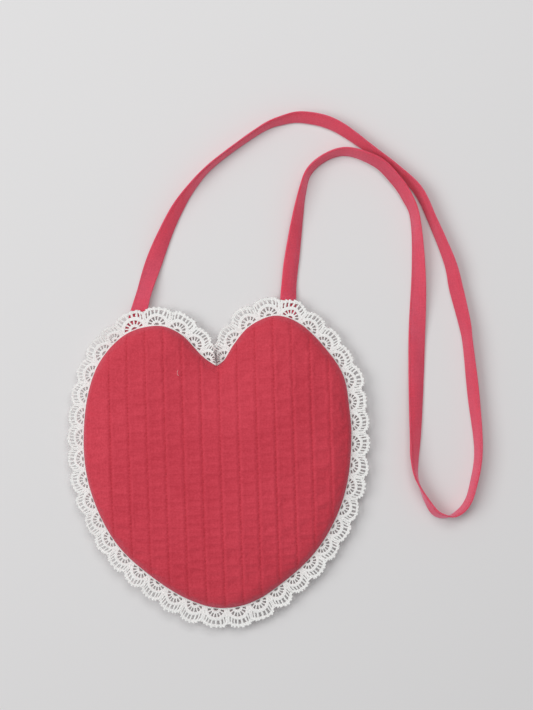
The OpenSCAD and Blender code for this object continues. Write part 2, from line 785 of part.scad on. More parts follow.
strap_points = concat(
  [[each strap_root_left, 180], [each strap_place(strap_x_left, strap_angle_left, strap_out + strap_lead), 180]],
  strap_route,
  [
    [each strap_place(strap_x_right, strap_angle_right, strap_out + strap_lead), 180],
    [each strap_root_right, 180]
  ]
);
strap_steps = 2;

module strap() {
  count = len(strap_points);
  rings = [
    for (i = [0 : count - 2], k = [0 : strap_steps - 1])
      let (
        a = i == 0 ? 2 * strap_points[0] - strap_points[1] : strap_points[i - 1],
        b = strap_points[i],
        c = strap_points[i + 1],
        d = i == count - 2 ? 2 * c - b : strap_points[i + 2],
        f = k / strap_steps
      )
      [curve(a, b, c, d, f), curve_dir(a, b, c, d, f)],
    [strap_points[count - 1], strap_points[count - 1] - strap_points[count - 2]]
  ];
  section = [
    for (side = [[1, 0.25], [0.9, 1], [-0.9, 1], [-1, 0.25], [-1, -0.25], [-0.9, -1], [0.9, -1], [1, -0.25]])
      [side.x * strap_w / 2, side.y * strap_t / 2]
  ];
  points = [
    for (r = rings)
      let (
        centre = [r[0].x, r[0].y, r[0].z],
        along = [r[1].x, r[1].y, r[1].z] / norm([r[1].x, r[1].y, r[1].z]),
        left = cross([0, 0, 1], along) / norm(cross([0, 0, 1], along)),
        up = cross(along, left),
        roll = r[0][3],
        across = cos(roll) * left + sin(roll) * up,
        face = -sin(roll) * left + cos(roll) * up
      )
      for (s = section) centre + s.x * across + s.y * face
  ];
  sides = len(section);
  last = len(rings) - 1;
  color(pink_red_cotton)
    polyhedron(
      points,
      concat(
        [for (i = [0 : last - 1], k = [0 : sides - 1])
          let (a = i * sides + k, b = i * sides + (k + 1) % sides)
          each [[a, a + sides, b + sides], [a, b + sides, b]]],
        [for (k = [1 : sides - 2]) [0, k, k + 1]],
        [for (k = [1 : sides - 2]) [last * sides, last * sides + k + 1, last * sides + k]]
      ),
      convexity = 10
    );
}

front_shell();
front_wadding();
front_lining();
back_shell_upper();
back_shell_lower();
back_wadding_upper();
back_wadding_lower();
back_lining_upper();
back_lining_lower();
lace_trim();
zip_tape_upper();
zip_tape_lower();
zip_teeth_upper();
zip_teeth_lower();
zip_top_stops();
zip_bottom_stop();
zip_slider();
zip_pull();
strap_end_left();
strap_end_right();
strap();
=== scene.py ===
"""Heart shaped quilted purse: cloth, lace, thread and zip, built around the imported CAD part.

The purse lies on its back. +Z points out of the quilted front and +Y towards its two lobes.
All sizes are in metres.
"""

from __future__ import annotations

import json
import logging
import math
from dataclasses import dataclass, field
from enum import Enum
from typing import Callable, Sequence

import bmesh
import bpy
import numpy as np
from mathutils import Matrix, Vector
from mathutils.geometry import delaunay_2d_cdt

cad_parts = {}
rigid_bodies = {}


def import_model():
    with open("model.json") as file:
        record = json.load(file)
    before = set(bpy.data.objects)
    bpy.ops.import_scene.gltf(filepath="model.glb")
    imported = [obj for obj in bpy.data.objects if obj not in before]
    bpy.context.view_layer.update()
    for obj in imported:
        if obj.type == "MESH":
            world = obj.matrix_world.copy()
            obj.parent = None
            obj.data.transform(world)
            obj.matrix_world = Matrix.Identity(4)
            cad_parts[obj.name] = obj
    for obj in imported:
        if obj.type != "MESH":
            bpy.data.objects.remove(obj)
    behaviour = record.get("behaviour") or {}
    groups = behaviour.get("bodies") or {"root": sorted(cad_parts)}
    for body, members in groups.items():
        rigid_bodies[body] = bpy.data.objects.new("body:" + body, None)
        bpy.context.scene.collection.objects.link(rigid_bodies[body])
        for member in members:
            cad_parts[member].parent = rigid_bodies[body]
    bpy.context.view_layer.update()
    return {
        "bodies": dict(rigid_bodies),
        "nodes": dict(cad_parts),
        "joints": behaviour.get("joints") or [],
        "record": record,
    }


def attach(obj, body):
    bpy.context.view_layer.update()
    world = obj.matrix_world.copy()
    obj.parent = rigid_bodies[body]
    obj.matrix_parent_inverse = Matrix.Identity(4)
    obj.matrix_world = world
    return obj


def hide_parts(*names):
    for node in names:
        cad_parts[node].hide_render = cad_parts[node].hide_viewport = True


log = logging.getLogger("purse")

Array = np.ndarray
Piece = bpy.types.Object
Material = bpy.types.Material
Triple = tuple[float, float, float]
HeightField = Callable[[Array, Array], Array]

MM = 0.001
SEAM_TOP = 7.4 * MM
SEAM_BOTTOM = 6.6 * MM
ZIP_Y = 40.2 * MM
WINDOW_LOW = ZIP_Y - 5 * MM
WINDOW_HIGH = ZIP_Y + 5 * MM
STRAP_X = (-51.3 * MM, 42.5 * MM)


class Side(Enum):
    """Which way a quilted panel faces."""

    FRONT = 1
    BACK = -1


class Coordinates(Enum):
    """Where a cloth's weave takes its coordinates from."""

    OBJECT = "Object"
    UV = "UV"


# Camera and light


@dataclass(frozen=True)
class PhotoCamera:
    """A camera straight above the purse, with the photograph's frame.

    Attributes:
        centre: the point of the floor at the middle of the picture.
        height: the camera's height above the seam.
        frame_height: how much of the seam's plane the picture shows, from top to bottom.
    """

    centre: tuple[float, float] = (29.9 * MM, 65.1 * MM)
    height: float = 1.1
    frame_height: float = 433.1 * MM

    def build(self) -> None:
        """Makes the camera and gives it to the scene."""
        data = bpy.data.cameras.new("photo_camera")
        data.sensor_fit = "VERTICAL"
        data.sensor_height = 24.0
        data.lens = data.sensor_height * self.height / self.frame_height
        data.clip_start = 0.01
        camera = linked("photo_camera", data)
        camera.location = (*self.centre, self.height + SEAM_TOP)
        bpy.context.scene.camera = camera


@dataclass(frozen=True)
class SoftLamp:
    """A large square lamp that shines on the purse."""

    name: str
    power: float
    place: Triple
    size: float

    def build(self) -> None:
        """Makes the lamp and turns it to the purse."""
        data = bpy.data.lights.new(self.name, "AREA")
        data.shape = "SQUARE"
        data.size = self.size
        data.energy = self.power
        lamp = linked(self.name, data)
        lamp.location = self.place
        aim = Vector((0.03, 0.05, 0.0)) - lamp.location
        lamp.rotation_euler = aim.to_track_quat("-Z", "Y").to_euler()


@dataclass(frozen=True)
class Daylight:
    """Soft light from a window on the left and one nearly overhead, with an even fill."""

    lamps: tuple[SoftLamp, ...] = (
        SoftLamp("window_left", 23.3, (-1.4, 0.2, 1.7), 1.4),
        SoftLamp("window_above", 7.4, (0.13, 0.75, 1.3), 0.85),
    )
    fill: float = 0.32

    def build(self) -> None:
        """Makes the lamps and the world."""
        for lamp in self.lamps:
            lamp.build()
        world = bpy.data.worlds.new("room")
        bpy.context.scene.world = world
        world.use_nodes = True
        background = world.node_tree.nodes["Background"]
        background.inputs["Color"].default_value = (0.99, 0.985, 1.0, 1.0)
        background.inputs["Strength"].default_value = self.fill


@dataclass(frozen=True)
class Floor:
    """A plain pale table top under the purse."""

    half: float = 3.0
    level: float = -0.2 * MM
    color: Triple = (0.755, 0.75, 0.75)

    def build(self) -> None:
        """Makes the floor."""
        half = self.half
        flat = ((-half, -half), (half, -half), (half, half), (-half, half))
        corners = [(x, y, self.level) for x, y in flat]
        floor = mesh_object("floor", corners, [(0, 1, 2, 3)])
        look = {"Base Color": (*self.color, 1.0), "Roughness": 0.9, "Specular IOR Level": 0.2}
        floor.data.materials.append(Shader("pale_table").surface(look))


# Small helpers for meshes


def linked(name: str, data: bpy.types.ID) -> Piece:
    """Makes an object of some data and links it to the scene."""
    made = bpy.data.objects.new(name, data)
    bpy.context.scene.collection.objects.link(made)
    return made


def mesh_object(name: str, points: Sequence, faces: Sequence, edges: Sequence = ()) -> Piece:
    """Makes a mesh object at the origin.

    Args:
        name: name of the object.
        points: corners of the mesh.
        faces: corner numbers of each face.
        edges: corner numbers of loose edges.

    Returns:
        The new object, linked to the scene.
    """
    mesh = bpy.data.meshes.new(name)
    mesh.from_pydata([tuple(map(float, p)) for p in points], list(edges), [tuple(map(int, f)) for f in faces])
    mesh.validate()
    mesh.update()
    return linked(name, mesh)


def line_object(name: str, paths: Sequence[Array]) -> Piece:
    """Makes a mesh of bare lines, one through the points of each path."""
    starts = np.cumsum([0, *map(len, paths)])
    edges = [(start + i, start + i + 1) for start, path in zip(starts, paths) for i in range(len(path) - 1)]
    return mesh_object(name, np.vstack(paths), [], edges)


def points_of(mesh: bpy.types.Mesh) -> Array:
    """Corner points of a mesh, one in each row."""
    flat = np.empty(len(mesh.vertices) * 3, dtype=np.float32)
    mesh.vertices.foreach_get("co", flat)
    return flat.reshape(-1, 3).astype(float)


def store(piece: Piece, **values: Array) -> None:
    """Stores numbers on a piece under their names, one for each corner point."""
    for name, numbers in values.items():
        attribute = piece.data.attributes.new(name, "FLOAT", "POINT")
        attribute.data.foreach_set("value", np.asarray(numbers, dtype=np.float32))


def shade_smooth(piece: Piece) -> Piece:
    """Shades every face of a piece smoothly."""
    piece.data.polygons.foreach_set("use_smooth", [True] * len(piece.data.polygons))
    piece.data.update()
    return piece


def bake_modifiers(piece: Piece) -> Piece:
    """Replaces a piece's mesh by its evaluated one and removes its modifiers."""
    bpy.context.view_layer.update()
    evaluated = piece.evaluated_get(bpy.context.evaluated_depsgraph_get())
    mesh = bpy.data.meshes.new_from_object(evaluated)
    piece.modifiers.clear()
    old = piece.data
    piece.data = mesh
    mesh.name = piece.name
    bpy.data.meshes.remove(old)
    return piece


def dress(piece: Piece, finish: Material, node: str = "", body: str = "purse") -> Piece:
    """Finishes a piece.

    Args:
        piece: the piece, with its final mesh.
        finish: its material.
        node: the CAD node that it stands for, if any.
        body: the body that it rides on.

    Returns:
        The piece.
    """
    piece.data.materials.clear()
    piece.data.materials.append(finish)
    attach(piece, body)
    if node:
        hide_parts(node)
    log.info("%s: %d faces", piece.name, len(piece.data.polygons))
    return piece


# Node trees


class Value:
    """The output of a node. Each sum with it adds one node to its tree."""

    def __init__(self, tree: Nodes, socket: bpy.types.NodeSocket) -> None:
        """Keeps the socket and its tree."""
        self.tree, self.socket = tree, socket

    def __add__(self, other: Value | float) -> Value:
        """Adds a term."""
        return self.tree.math("ADD", self, other)

    def __sub__(self, other: Value | float) -> Value:
        """Takes a term off."""
        return self.tree.math("SUBTRACT", self, other)

    def __mul__(self, other: Value | float) -> Value:
        """Multiplies by a factor."""
        return self.tree.math("MULTIPLY", self, other)

    def __truediv__(self, other: Value | float) -> Value:
        """Divides by a factor."""
        return self.tree.math("DIVIDE", self, other)


class Nodes:
    """Short ways to add nodes to a tree."""

    def __init__(self, tree: bpy.types.NodeTree) -> None:
        """Keeps the tree."""
        self.tree = tree

    def node(self, kind: str, inputs: dict, **settings: object) -> bpy.types.Node:
        """Adds a node.

        Args:
            kind: type of the node.
            inputs: what its inputs get: another node's output, or a value.
            **settings: its other properties.

        Returns:
            The new node.
        """
        made = self.tree.nodes.new(kind)
        for key, value in settings.items():
            setattr(made, key, value)
        for key, value in inputs.items():
            source = getattr(value, "socket", value)
            if isinstance(source, bpy.types.NodeSocket):
                self.tree.links.new(source, made.inputs[key])
            else:
                made.inputs[key].default_value = source
        return made

    def value(self, kind: str, inputs: dict, output: int | str = 0, **settings: object) -> Value:
        """Adds a node, as above, and gives one of its outputs."""
        return Value(self, self.node(kind, inputs, **settings).outputs[output])

    def math(self, operation: str, *terms: Value | float) -> Value:
        """Adds one sum of numbers."""
        return self.value("ShaderNodeMath", dict(enumerate(terms)), operation=operation)

    def vector(self, operation: str, *terms: Value | Triple) -> Value:
        """Adds one sum of vectors."""
        return self.value("ShaderNodeVectorMath", dict(enumerate(terms)), operation=operation)

    def split(self, vector: Value) -> list[Value]:
        """Gives the three parts of a vector."""
        return [Value(self, part) for part in self.node("ShaderNodeSeparateXYZ", {0: vector}).outputs]

    def joined(self, *parts: Value | float) -> Value:
        """Makes a vector of up to three parts."""
        return self.value("ShaderNodeCombineXYZ", dict(enumerate(parts)))

    def noise(self, vector: Value, scale: float, detail: float = 2.0, roughness: float = 0.5,
              output: str = "Fac") -> Value:
        """Adds a noise texture and gives its value, from 0 to 1."""
        inputs = {"Vector": vector, "Scale": scale, "Detail": detail, "Roughness": roughness}
        return self.value("ShaderNodeTexNoise", inputs, output)


class Shader(Nodes):
    """A material with its Principled shader."""

    def __init__(self, name: str) -> None:
        """Makes a material of that name."""
        self.material = bpy.data.materials.new(name)
        self.material.use_nodes = True
        super().__init__(self.material.node_tree)

    def place(self, x: float = 1.0, y: float = 1.0, z: float = 1.0,
              source: Coordinates = Coordinates.OBJECT) -> Value:
        """Gives the piece's coordinates, multiplied by x, y and z."""
        where = self.value("ShaderNodeTexCoord", {}, source.value)
        return self.value("ShaderNodeMapping", {"Vector": where, "Scale": (x, y, z)})

    def tinted(self, dark: Triple, light: Triple, factor: Value) -> Value:
        """Mixes two colours by a factor, held between 0 and 1."""
        inputs = {0: factor, 6: (*dark, 1.0), 7: (*light, 1.0)}
        return self.value("ShaderNodeMix", inputs, 2, data_type="RGBA")

    def bumps(self, *layers: tuple[Value, float]) -> Value:
        """Lays bumps of given depths on top of each other and gives the normal."""
        below = {}
        for height, depth in layers:
            inputs = {"Strength": 1.0, "Distance": depth, "Height": height, **below}
            normal = self.value("ShaderNodeBump", inputs)
            below = {"Normal": normal}
        return normal

    def surface(self, look: dict) -> Material:
        """Feeds the inputs of the Principled shader and gives the material."""
        principled = self.tree.nodes["Principled BSDF"]
        for key, value in look.items():
            if isinstance(value, Value):
                self.tree.links.new(value.socket, principled.inputs[key])
            else:
                principled.inputs[key].default_value = value
        return self.material


def linear(red: int, green: int, blue: int) -> Triple:
    """Turns a screen colour, 0 to 255, into the numbers that a shader takes."""
    shares = (red / 255, green / 255, blue / 255)
    return tuple(c / 12.92 if c <= 0.04045 else ((c + 0.055) / 1.055) ** 2.4 for c in shares)


# Finishes


@dataclass(frozen=True)
class WovenCotton:
    """Plain woven cotton: fine crossing threads, slubs, soft creases and a faint bloom.

    Attributes:
        name: name of the material.
        dark: colour in the deeper places, and the painted shade that darkens the quilting lines and their
            needle holes.
        light: colour on the threads.
        crease_depth: how deep the soft creases are.
        source: where the weave takes its coordinates from.
        turn: angle of the threads to the coordinates, in radians.
        quilted: whether the cloth has quilting lines, where the attribute of that name is 1, with painted
            shade darkening the colour along them and at their needle holes.
        sheen: strength of the bloom.
        glow: how much of the light spreads inside the cloth.
        thread_pitch: distance between two threads.
        weave_depth: how far the threads stand out.
    """

    name: str
    dark: Triple
    light: Triple
    crease_depth: float = 0.25 * MM
    source: Coordinates = Coordinates.OBJECT
    turn: float = 0.0
    quilted: bool = False
    sheen: float = 0.3
    glow: float = 0.0
    thread_pitch: float = 0.42 * MM
    weave_depth: float = 0.05 * MM

    def build(self) -> Material:
        """Makes the material."""
        shader = Shader(self.name)
        place = shader.place(source=self.source)
        wander = shader.vector("SUBTRACT", shader.noise(place, 60.0, output="Color"), (0.5, 0.5, 0.5))
        bent = shader.vector("MULTIPLY_ADD", wander, (0.0012, 0.0012, 0.0012), place)
        turned = {"Angle": self.turn, "Vector": bent}
        x, y, _ = shader.split(shader.value("ShaderNodeVectorRotate", turned, rotation_type="Z_AXIS"))
        wave = math.pi / self.thread_pitch
        weave = shader.math("SINE", x * wave) * shader.math("SINE", y * wave) * 0.5 + 0.5
        along = shader.noise(shader.place(y=0.06, source=self.source), 1500.0, 3.0, 0.6)
        across = shader.noise(shader.place(x=0.06, source=self.source), 1300.0, 3.0, 0.6)
        slubs = (along + across) * 0.5
        patches = shader.noise(place, 28.0, 4.0, 0.6)
        specks = shader.noise(place, 900.0, 2.0, 0.7)
        creases = shader.noise(place, 110.0, 3.0, 0.55)
        tone = slubs * 1.1 - 0.2 + (patches - 0.5) * 0.9 + (specks - 0.5) * 1.2 + (weave - 0.5) * 0.35
        layers = [(creases, self.crease_depth)]
        if self.quilted:
            line, hole, pucker = self.quilting_marks(shader)
            # Painted shade: the colour is darkened along the quilting crease and at each needle hole
            tone = tone - line * 0.2 - hole * 0.6
            layers += [(pucker, 0.07 * MM), (shader.math("SUBTRACT", 1.0, line), 0.13 * MM)]
        look = {
            "Base Color": shader.tinted(self.dark, self.light, tone),
            "Normal": shader.bumps(*layers, (slubs, 0.07 * MM), (weave, self.weave_depth)),
            "Roughness": 0.7, "Specular IOR Level": 0.32, "Specular Tint": (0.6, 0.8, 1.0, 1.0),
            "Sheen Weight": self.sheen, "Sheen Roughness": 0.5, "Sheen Tint": (1.0, 0.6, 0.8, 1.0),
        }
        if self.glow:
            spread = {"Subsurface Radius": (1.0, 0.35, 0.4), "Subsurface Scale": 4.5 * MM}
            look |= {"Subsurface Weight": self.glow, **spread}
        return shader.surface(look)

    def quilting_marks(self, shader: Shader) -> tuple[Value, Value, Value]:
        """Gives the crease of the quilting lines, their needle holes and the puckers between them; the crease
        and the holes also mark where painted shade darkens the colour.
        """
        quilting = Quilting()
        x, y, _ = shader.split(shader.place())
        away = shader.math("PINGPONG", x + y * -quilting.lean - quilting.shift, quilting.pitch / 2)
        quilted = shader.value("ShaderNodeAttribute", {}, "Fac", attribute_name="quilted")

        def bell(distance: Value, width: float) -> Value:
            """A rounded peak of 1 where the distance is 0."""
            return shader.math("EXPONENT", shader.math("POWER", distance / width, 2.0) * -1.0)

        firm = shader.noise(shader.place(y=0.25), 90.0)
        pulled = shader.noise(shader.place(x=0.3), 230.0)
        stitch = bell(shader.math("PINGPONG", y, quilting.stitch / 2), 0.4 * MM)
        # Masks of the crease and the needle holes: both darken the colour as painted shade, and the crease
        # also dents the cloth
        line = bell(away, 0.5 * MM) * (quilted * firm)
        hole = bell(away, 0.42 * MM) * stitch * quilted
        return line, hole, pulled * bell(away, 3.5 * MM) * quilted


@dataclass(frozen=True)
class SpunThread:
    """Cotton thread or lace cord: soft, matt and finely twisted.

    Attributes:
        name: name of the material.
        dark: colour between the fibres.
        light: colour of the fibres.
        twist: how many turns a metre the fibres make.
    """

    name: str
    dark: Triple
    light: Triple
    twist: float = 2600.0

    def build(self) -> Material:
        """Makes the material."""
        shader = Shader(self.name)
        place = shader.place()
        bands = {"Vector": place, "Scale": self.twist / (2 * math.pi), "Distortion": 3.0, "Detail": 2.0}
        wave = shader.value("ShaderNodeTexWave", bands, "Fac", wave_type="BANDS", bands_direction="DIAGONAL")
        fuzz = shader.noise(place, 2400.0, 2.0, 0.6)
        tone = (wave + fuzz) * 0.5 + (shader.noise(place, 45.0) - 0.5) * 0.6
        return shader.surface({
            "Base Color": shader.tinted(self.dark, self.light, tone),
            "Normal": shader.bumps((wave, 0.12 * MM), (fuzz, 0.08 * MM)),
            "Roughness": 0.8, "Specular IOR Level": 0.25, "Sheen Weight": 0.1,
        })


@dataclass(frozen=True)
class Fleece:
    """Bonded wadding: fibres with no direction."""

    color: Triple = (0.80, 0.78, 0.74)

    def build(self) -> Material:
        """Makes the material."""
        shader = Shader("wadding_fleece")
        fibres = shader.noise(shader.place(z=0.3), 700.0, 6.0, 0.75)
        return shader.surface({
            "Base Color": shader.tinted(tuple(c * 0.82 for c in self.color), self.color, fibres),
            "Normal": shader.bumps((fibres, 0.4 * MM)), "Roughness": 0.95, "Sheen Weight": 0.2,
        })


@dataclass(frozen=True)
class ZipTapeCloth:
    """Herringbone tape: slanting ribs that turn from one rib to the next."""

    dark: Triple = linear(140, 32, 44)
    light: Triple = linear(186, 52, 66)
    rib: float = 0.9 * MM
    thread: float = 0.5 * MM

    def build(self) -> Material:
        """Makes the material."""
        shader = Shader("zip_tape_cloth")
        x, y, _ = shader.split(shader.place())
        slanted = x + shader.math("PINGPONG", y, self.rib)
        weave = shader.math("SINE", slanted * (2 * math.pi / self.thread)) * 0.5 + 0.5
        return shader.surface({
            "Base Color": shader.tinted(self.dark, self.light, weave),
            "Normal": shader.bumps((weave, 0.06 * MM)), "Roughness": 0.78, "Sheen Weight": 0.1,
        })


@dataclass(frozen=True)
class SatinBrass:
    """Tumbled brass, a little darker where it isn't rubbed."""

    dark: Triple = linear(148, 118, 58)
    light: Triple = linear(214, 184, 108)

    def build(self) -> Material:
        """Makes the material."""
        shader = Shader("satin_brass")
        scratches = shader.noise(shader.place(x=0.08), 9000.0)
        tone = shader.noise(shader.place(), 350.0, 4.0, 0.6)
        return shader.surface({
            "Base Color": shader.tinted(self.dark, self.light, tone), "Metallic": 1.0,
            "Normal": shader.bumps((scratches, 0.01 * MM)), "Roughness": scratches * 0.2 + 0.26,
        })


# The heart's outline, which every sewn piece follows


@dataclass
class HeartOutline:
    """The seam line, clockwise from the notch between the lobes, seen from the front.

    Attributes:
        half_width: half the width of the heart.
        half_height: half its height.
        shares: outline points, as shares of those two.
        dense: many points on the line.
        lengths: their distances along it.
    """

    half_width: float = 81.5 * MM
    half_height: float = 89.0 * MM
    shares: tuple[tuple[float, float], ...] = (
        (-0.006, 0.654), (0.055, 0.700), (0.125, 0.805), (0.245, 0.930), (0.431, 1.000), (0.620, 0.942),
        (0.805, 0.778), (0.940, 0.590), (0.986, 0.360), (1.000, 0.149), (0.970, -0.140), (0.876, -0.400),
        (0.715, -0.633), (0.490, -0.824), (0.258, -0.960), (0.020, -1.000), (-0.210, -0.944),
        (-0.452, -0.812), (-0.708, -0.610), (-0.866, -0.388), (-0.970, -0.120), (-1.000, 0.163),
        (-0.965, 0.470), (-0.868, 0.700), (-0.680, 0.875), (-0.446, 0.930), (-0.270, 0.868),
        (-0.130, 0.735), (-0.055, 0.680), (-0.006, 0.654),
    )
    dense: Array = field(init=False)
    lengths: Array = field(init=False)

    def __post_init__(self) -> None:
        """Samples the smooth line through the outline points."""
        outline = np.array(self.shares) * (self.half_width, self.half_height)
        self.dense, self.lengths = smooth_line(outline, 24)

    @property
    def perimeter(self) -> float:
        """Length of the whole seam line."""
        return float(self.lengths[-1])

    def at(self, along: Array) -> Array:
        """Points of the line at distances along it from the notch."""
        return sampled_line(along, self.lengths, self.dense)

    def distance(self, points: Array) -> Array:
        """Shortest distance from each point to the line."""
        nearest = np.full(len(points), np.inf)
        line = self.dense[::3]
        for start, end in zip(line[:-1], line[1:]):
            edge = end - start
            share = np.clip(((points - start) @ edge) / (edge @ edge), 0.0, 1.0)
            gap = points - start - share[:, None] * edge
            nearest = np.minimum(nearest, np.einsum("ij,ij->i", gap, gap))
        return np.sqrt(nearest)

    def inside(self, points: Array) -> Array:
        """Which points lie inside the line."""
        x, y = points[:, 0], points[:, 1]
        line = self.dense[::3]
        odd = np.zeros(len(points), dtype=bool)
        for (ax, ay), (bx, by) in zip(line, np.roll(line, -1, axis=0)):
            if ay != by:
                odd ^= ((ay > y) != (by > y)) & (x < (bx - ax) * (y - ay) / (by - ay) + ax)
        return odd


def smooth_line(points: Array, steps: int, lead: float = 1.0) -> tuple[Array, Array]:
    """Samples a smooth line through points.

    Args:
        points: the points, with more than three columns where other numbers go along.
        steps: how many samples each span gets.
        lead: how far the line's first and last spans are led on beyond its ends.

    Returns:
        The samples, and the distance of each along the line.
    """
    before = points[0] + lead * (points[0] - points[1])
    padded = np.vstack([before, points, points[-1] + lead * (points[-1] - points[-2])])
    samples = []
    f = (np.arange(steps) / steps)[:, None]
    for a, b, c, d in zip(padded[:-3], padded[1:-2], padded[2:-1], padded[3:]):
        bend = (2 * a - 5 * b + 4 * c - d) * f**2 + (3 * b - a - 3 * c + d) * f**3
        samples.append(0.5 * (2 * b + (c - a) * f + bend))
    line = np.vstack([*samples, points[-1:]])
    gaps = np.linalg.norm(np.diff(line[:, :3], axis=0), axis=1)
    return line, np.concatenate([[0.0], np.cumsum(gaps)])


def sampled_line(along: Array, lengths: Array, line: Array) -> Array:
    """Points of a line at distances along it, from its own points and their distances."""
    return np.column_stack([np.interp(along, lengths, column) for column in line.T])


def outward(loop: Array) -> Array:
    """Unit vectors out of a clockwise loop, at each of its points."""
    step = np.roll(loop, -1, axis=0) - np.roll(loop, 1, axis=0)
    out = np.column_stack([-step[:, 1], step[:, 0]])
    return out / np.linalg.norm(out, axis=1)[:, None]


def swell(distance: Array, reach: float) -> Array:
    """Quarter of an ellipse: 0 at the edge, 1 from reach on."""
    return np.sqrt(dome(distance, reach))


def dome(distance: Array, reach: float) -> Array:
    """A soft rise: 0 at the edge, 1 from reach on."""
    return 1 - (1 - np.clip(distance, 0, reach) / reach) ** 2


# Quilting


@dataclass(frozen=True)
class Quilting:
    """The parallel lines of stitches that hold the wadding.

    Attributes:
        pitch: distance between two lines.
        shift: place of the middle line.
        count: lines on each side of the middle one.
        lean: how far the lines lean, as a share of their height.
        stitch: length from one stitch hole to the next.
    """

    pitch: float = 11.1 * MM
    shift: float = 2.4 * MM
    count: int = 6
    lean: float = -0.028
    stitch: float = 2.2 * MM

    def line_distance(self, points: Array) -> Array:
        """Distance of each point from the nearest line."""
        number = (points[:, 0] - self.lean * points[:, 1] - self.shift) / self.pitch
        nearest = np.clip(np.round(number), -self.count, self.count)
        return np.abs(number - nearest) * self.pitch

    def line(self, number: int, low: float, high: float, step: float = 1.25 * MM) -> Array:
        """Points of one line between two levels."""
        y = np.arange(low, high + step / 2, step)
        return np.column_stack([self.shift + number * self.pitch + self.lean * y, y])


@dataclass
class PanelCut:
    """A flat cut piece of cloth, meshed with points on its quilting lines.

    Attributes:
        heart: the heart's outline.
        quilting: the lines that the points line up with.
        low: lowest level of the cut, or minus infinity.
        high: highest level, or infinity.
        across: how many mesh cells there are between two quilting lines.
        inset: how far inside the seam its edge lies.
    """

    heart: HeartOutline
    quilting: Quilting
    low: float = -math.inf
    high: float = math.inf
    across: int = 8
    inset: float = 0.0

    def rim(self) -> Array:
        """Points round the cut's edge, clockwise, one cell apart."""
        cell = self.quilting.pitch / self.across
        count = int(self.heart.perimeter / cell)
        loop = self.heart.at(np.linspace(0, self.heart.perimeter, count, endpoint=False))
        if self.inset:
            loop = loop - self.inset * outward(loop)
            loop = loop[self.heart.inside(loop) & (self.heart.distance(loop) > 0.97 * self.inset)]
            loop = loop[np.linalg.norm(loop - np.roll(loop, 1, axis=0), axis=1) > 0.4 * cell]
        if self.low == -math.inf and self.high == math.inf:
            return loop
        keep = (loop[:, 1] > self.low) & (loop[:, 1] < self.high)
        line = self.low if self.low > -math.inf else self.high
        first = int(np.argmax(keep & ~np.roll(keep, 1)))
        kept = np.roll(loop, -first, axis=0)[np.roll(keep, -first)]
        start, end = kept[-1, 0], kept[0, 0]
        folds = np.linspace(start, end, max(3, int(abs(end - start) / cell)))
        kept = kept[np.abs(kept[:, 1] - line) > 0.4 * cell]
        return np.vstack([kept, np.column_stack([folds, np.full(len(folds), line)])])

    def mesh(self, coarse: int = 1) -> tuple[Array, Array, int]:
        """Meshes the cut with even triangles.

        Args:
            coarse: how many times larger than a cell the triangles inside are.

        Returns:
            The points with those of the rim first, the triangles, and how many points the rim has.
        """
        rim = self.rim()
        cell = self.quilting.pitch / self.across * coarse
        row = cell * 0.9
        rows = int(self.heart.half_height / row + 1) + 1
        grid = []
        for r in range(-rows, rows + 1):
            start = self.quilting.shift + self.quilting.lean * r * row + (0.5 * cell if r % 2 else 0.0)
            grid.extend((x, r * row) for x in start + cell * np.arange(-80, 81))
        grid = np.array(grid)
        grid = grid[self.heart.inside(grid)]
        clear = self.heart.distance(grid) > self.inset + 0.75 * cell
        grid = grid[clear & (grid[:, 1] > self.low + 0.6 * cell) & (grid[:, 1] < self.high - 0.6 * cell)]
        points = np.vstack([rim, grid])
        loop = list(range(len(rim)))
        edges = list(zip(loop, [*loop[1:], 0]))
        flat = [Vector(point) for point in points.tolist()]
        made, _, faces, origin, _, _ = delaunay_2d_cdt(flat, edges, [loop], 1, 1e-7)
        assert len(made) == len(points), "the outline crosses itself"
        triangles = np.array([[origin[i][0] for i in face] for face in faces])
        a, b, c = (points[triangles[:, k]] for k in range(3))
        turn = (b[:, 0] - a[:, 0]) * (c[:, 1] - a[:, 1]) - (b[:, 1] - a[:, 1]) * (c[:, 0] - a[:, 0])
        triangles[turn < 0] = triangles[turn < 0][:, ::-1]
        return points, triangles, len(rim)


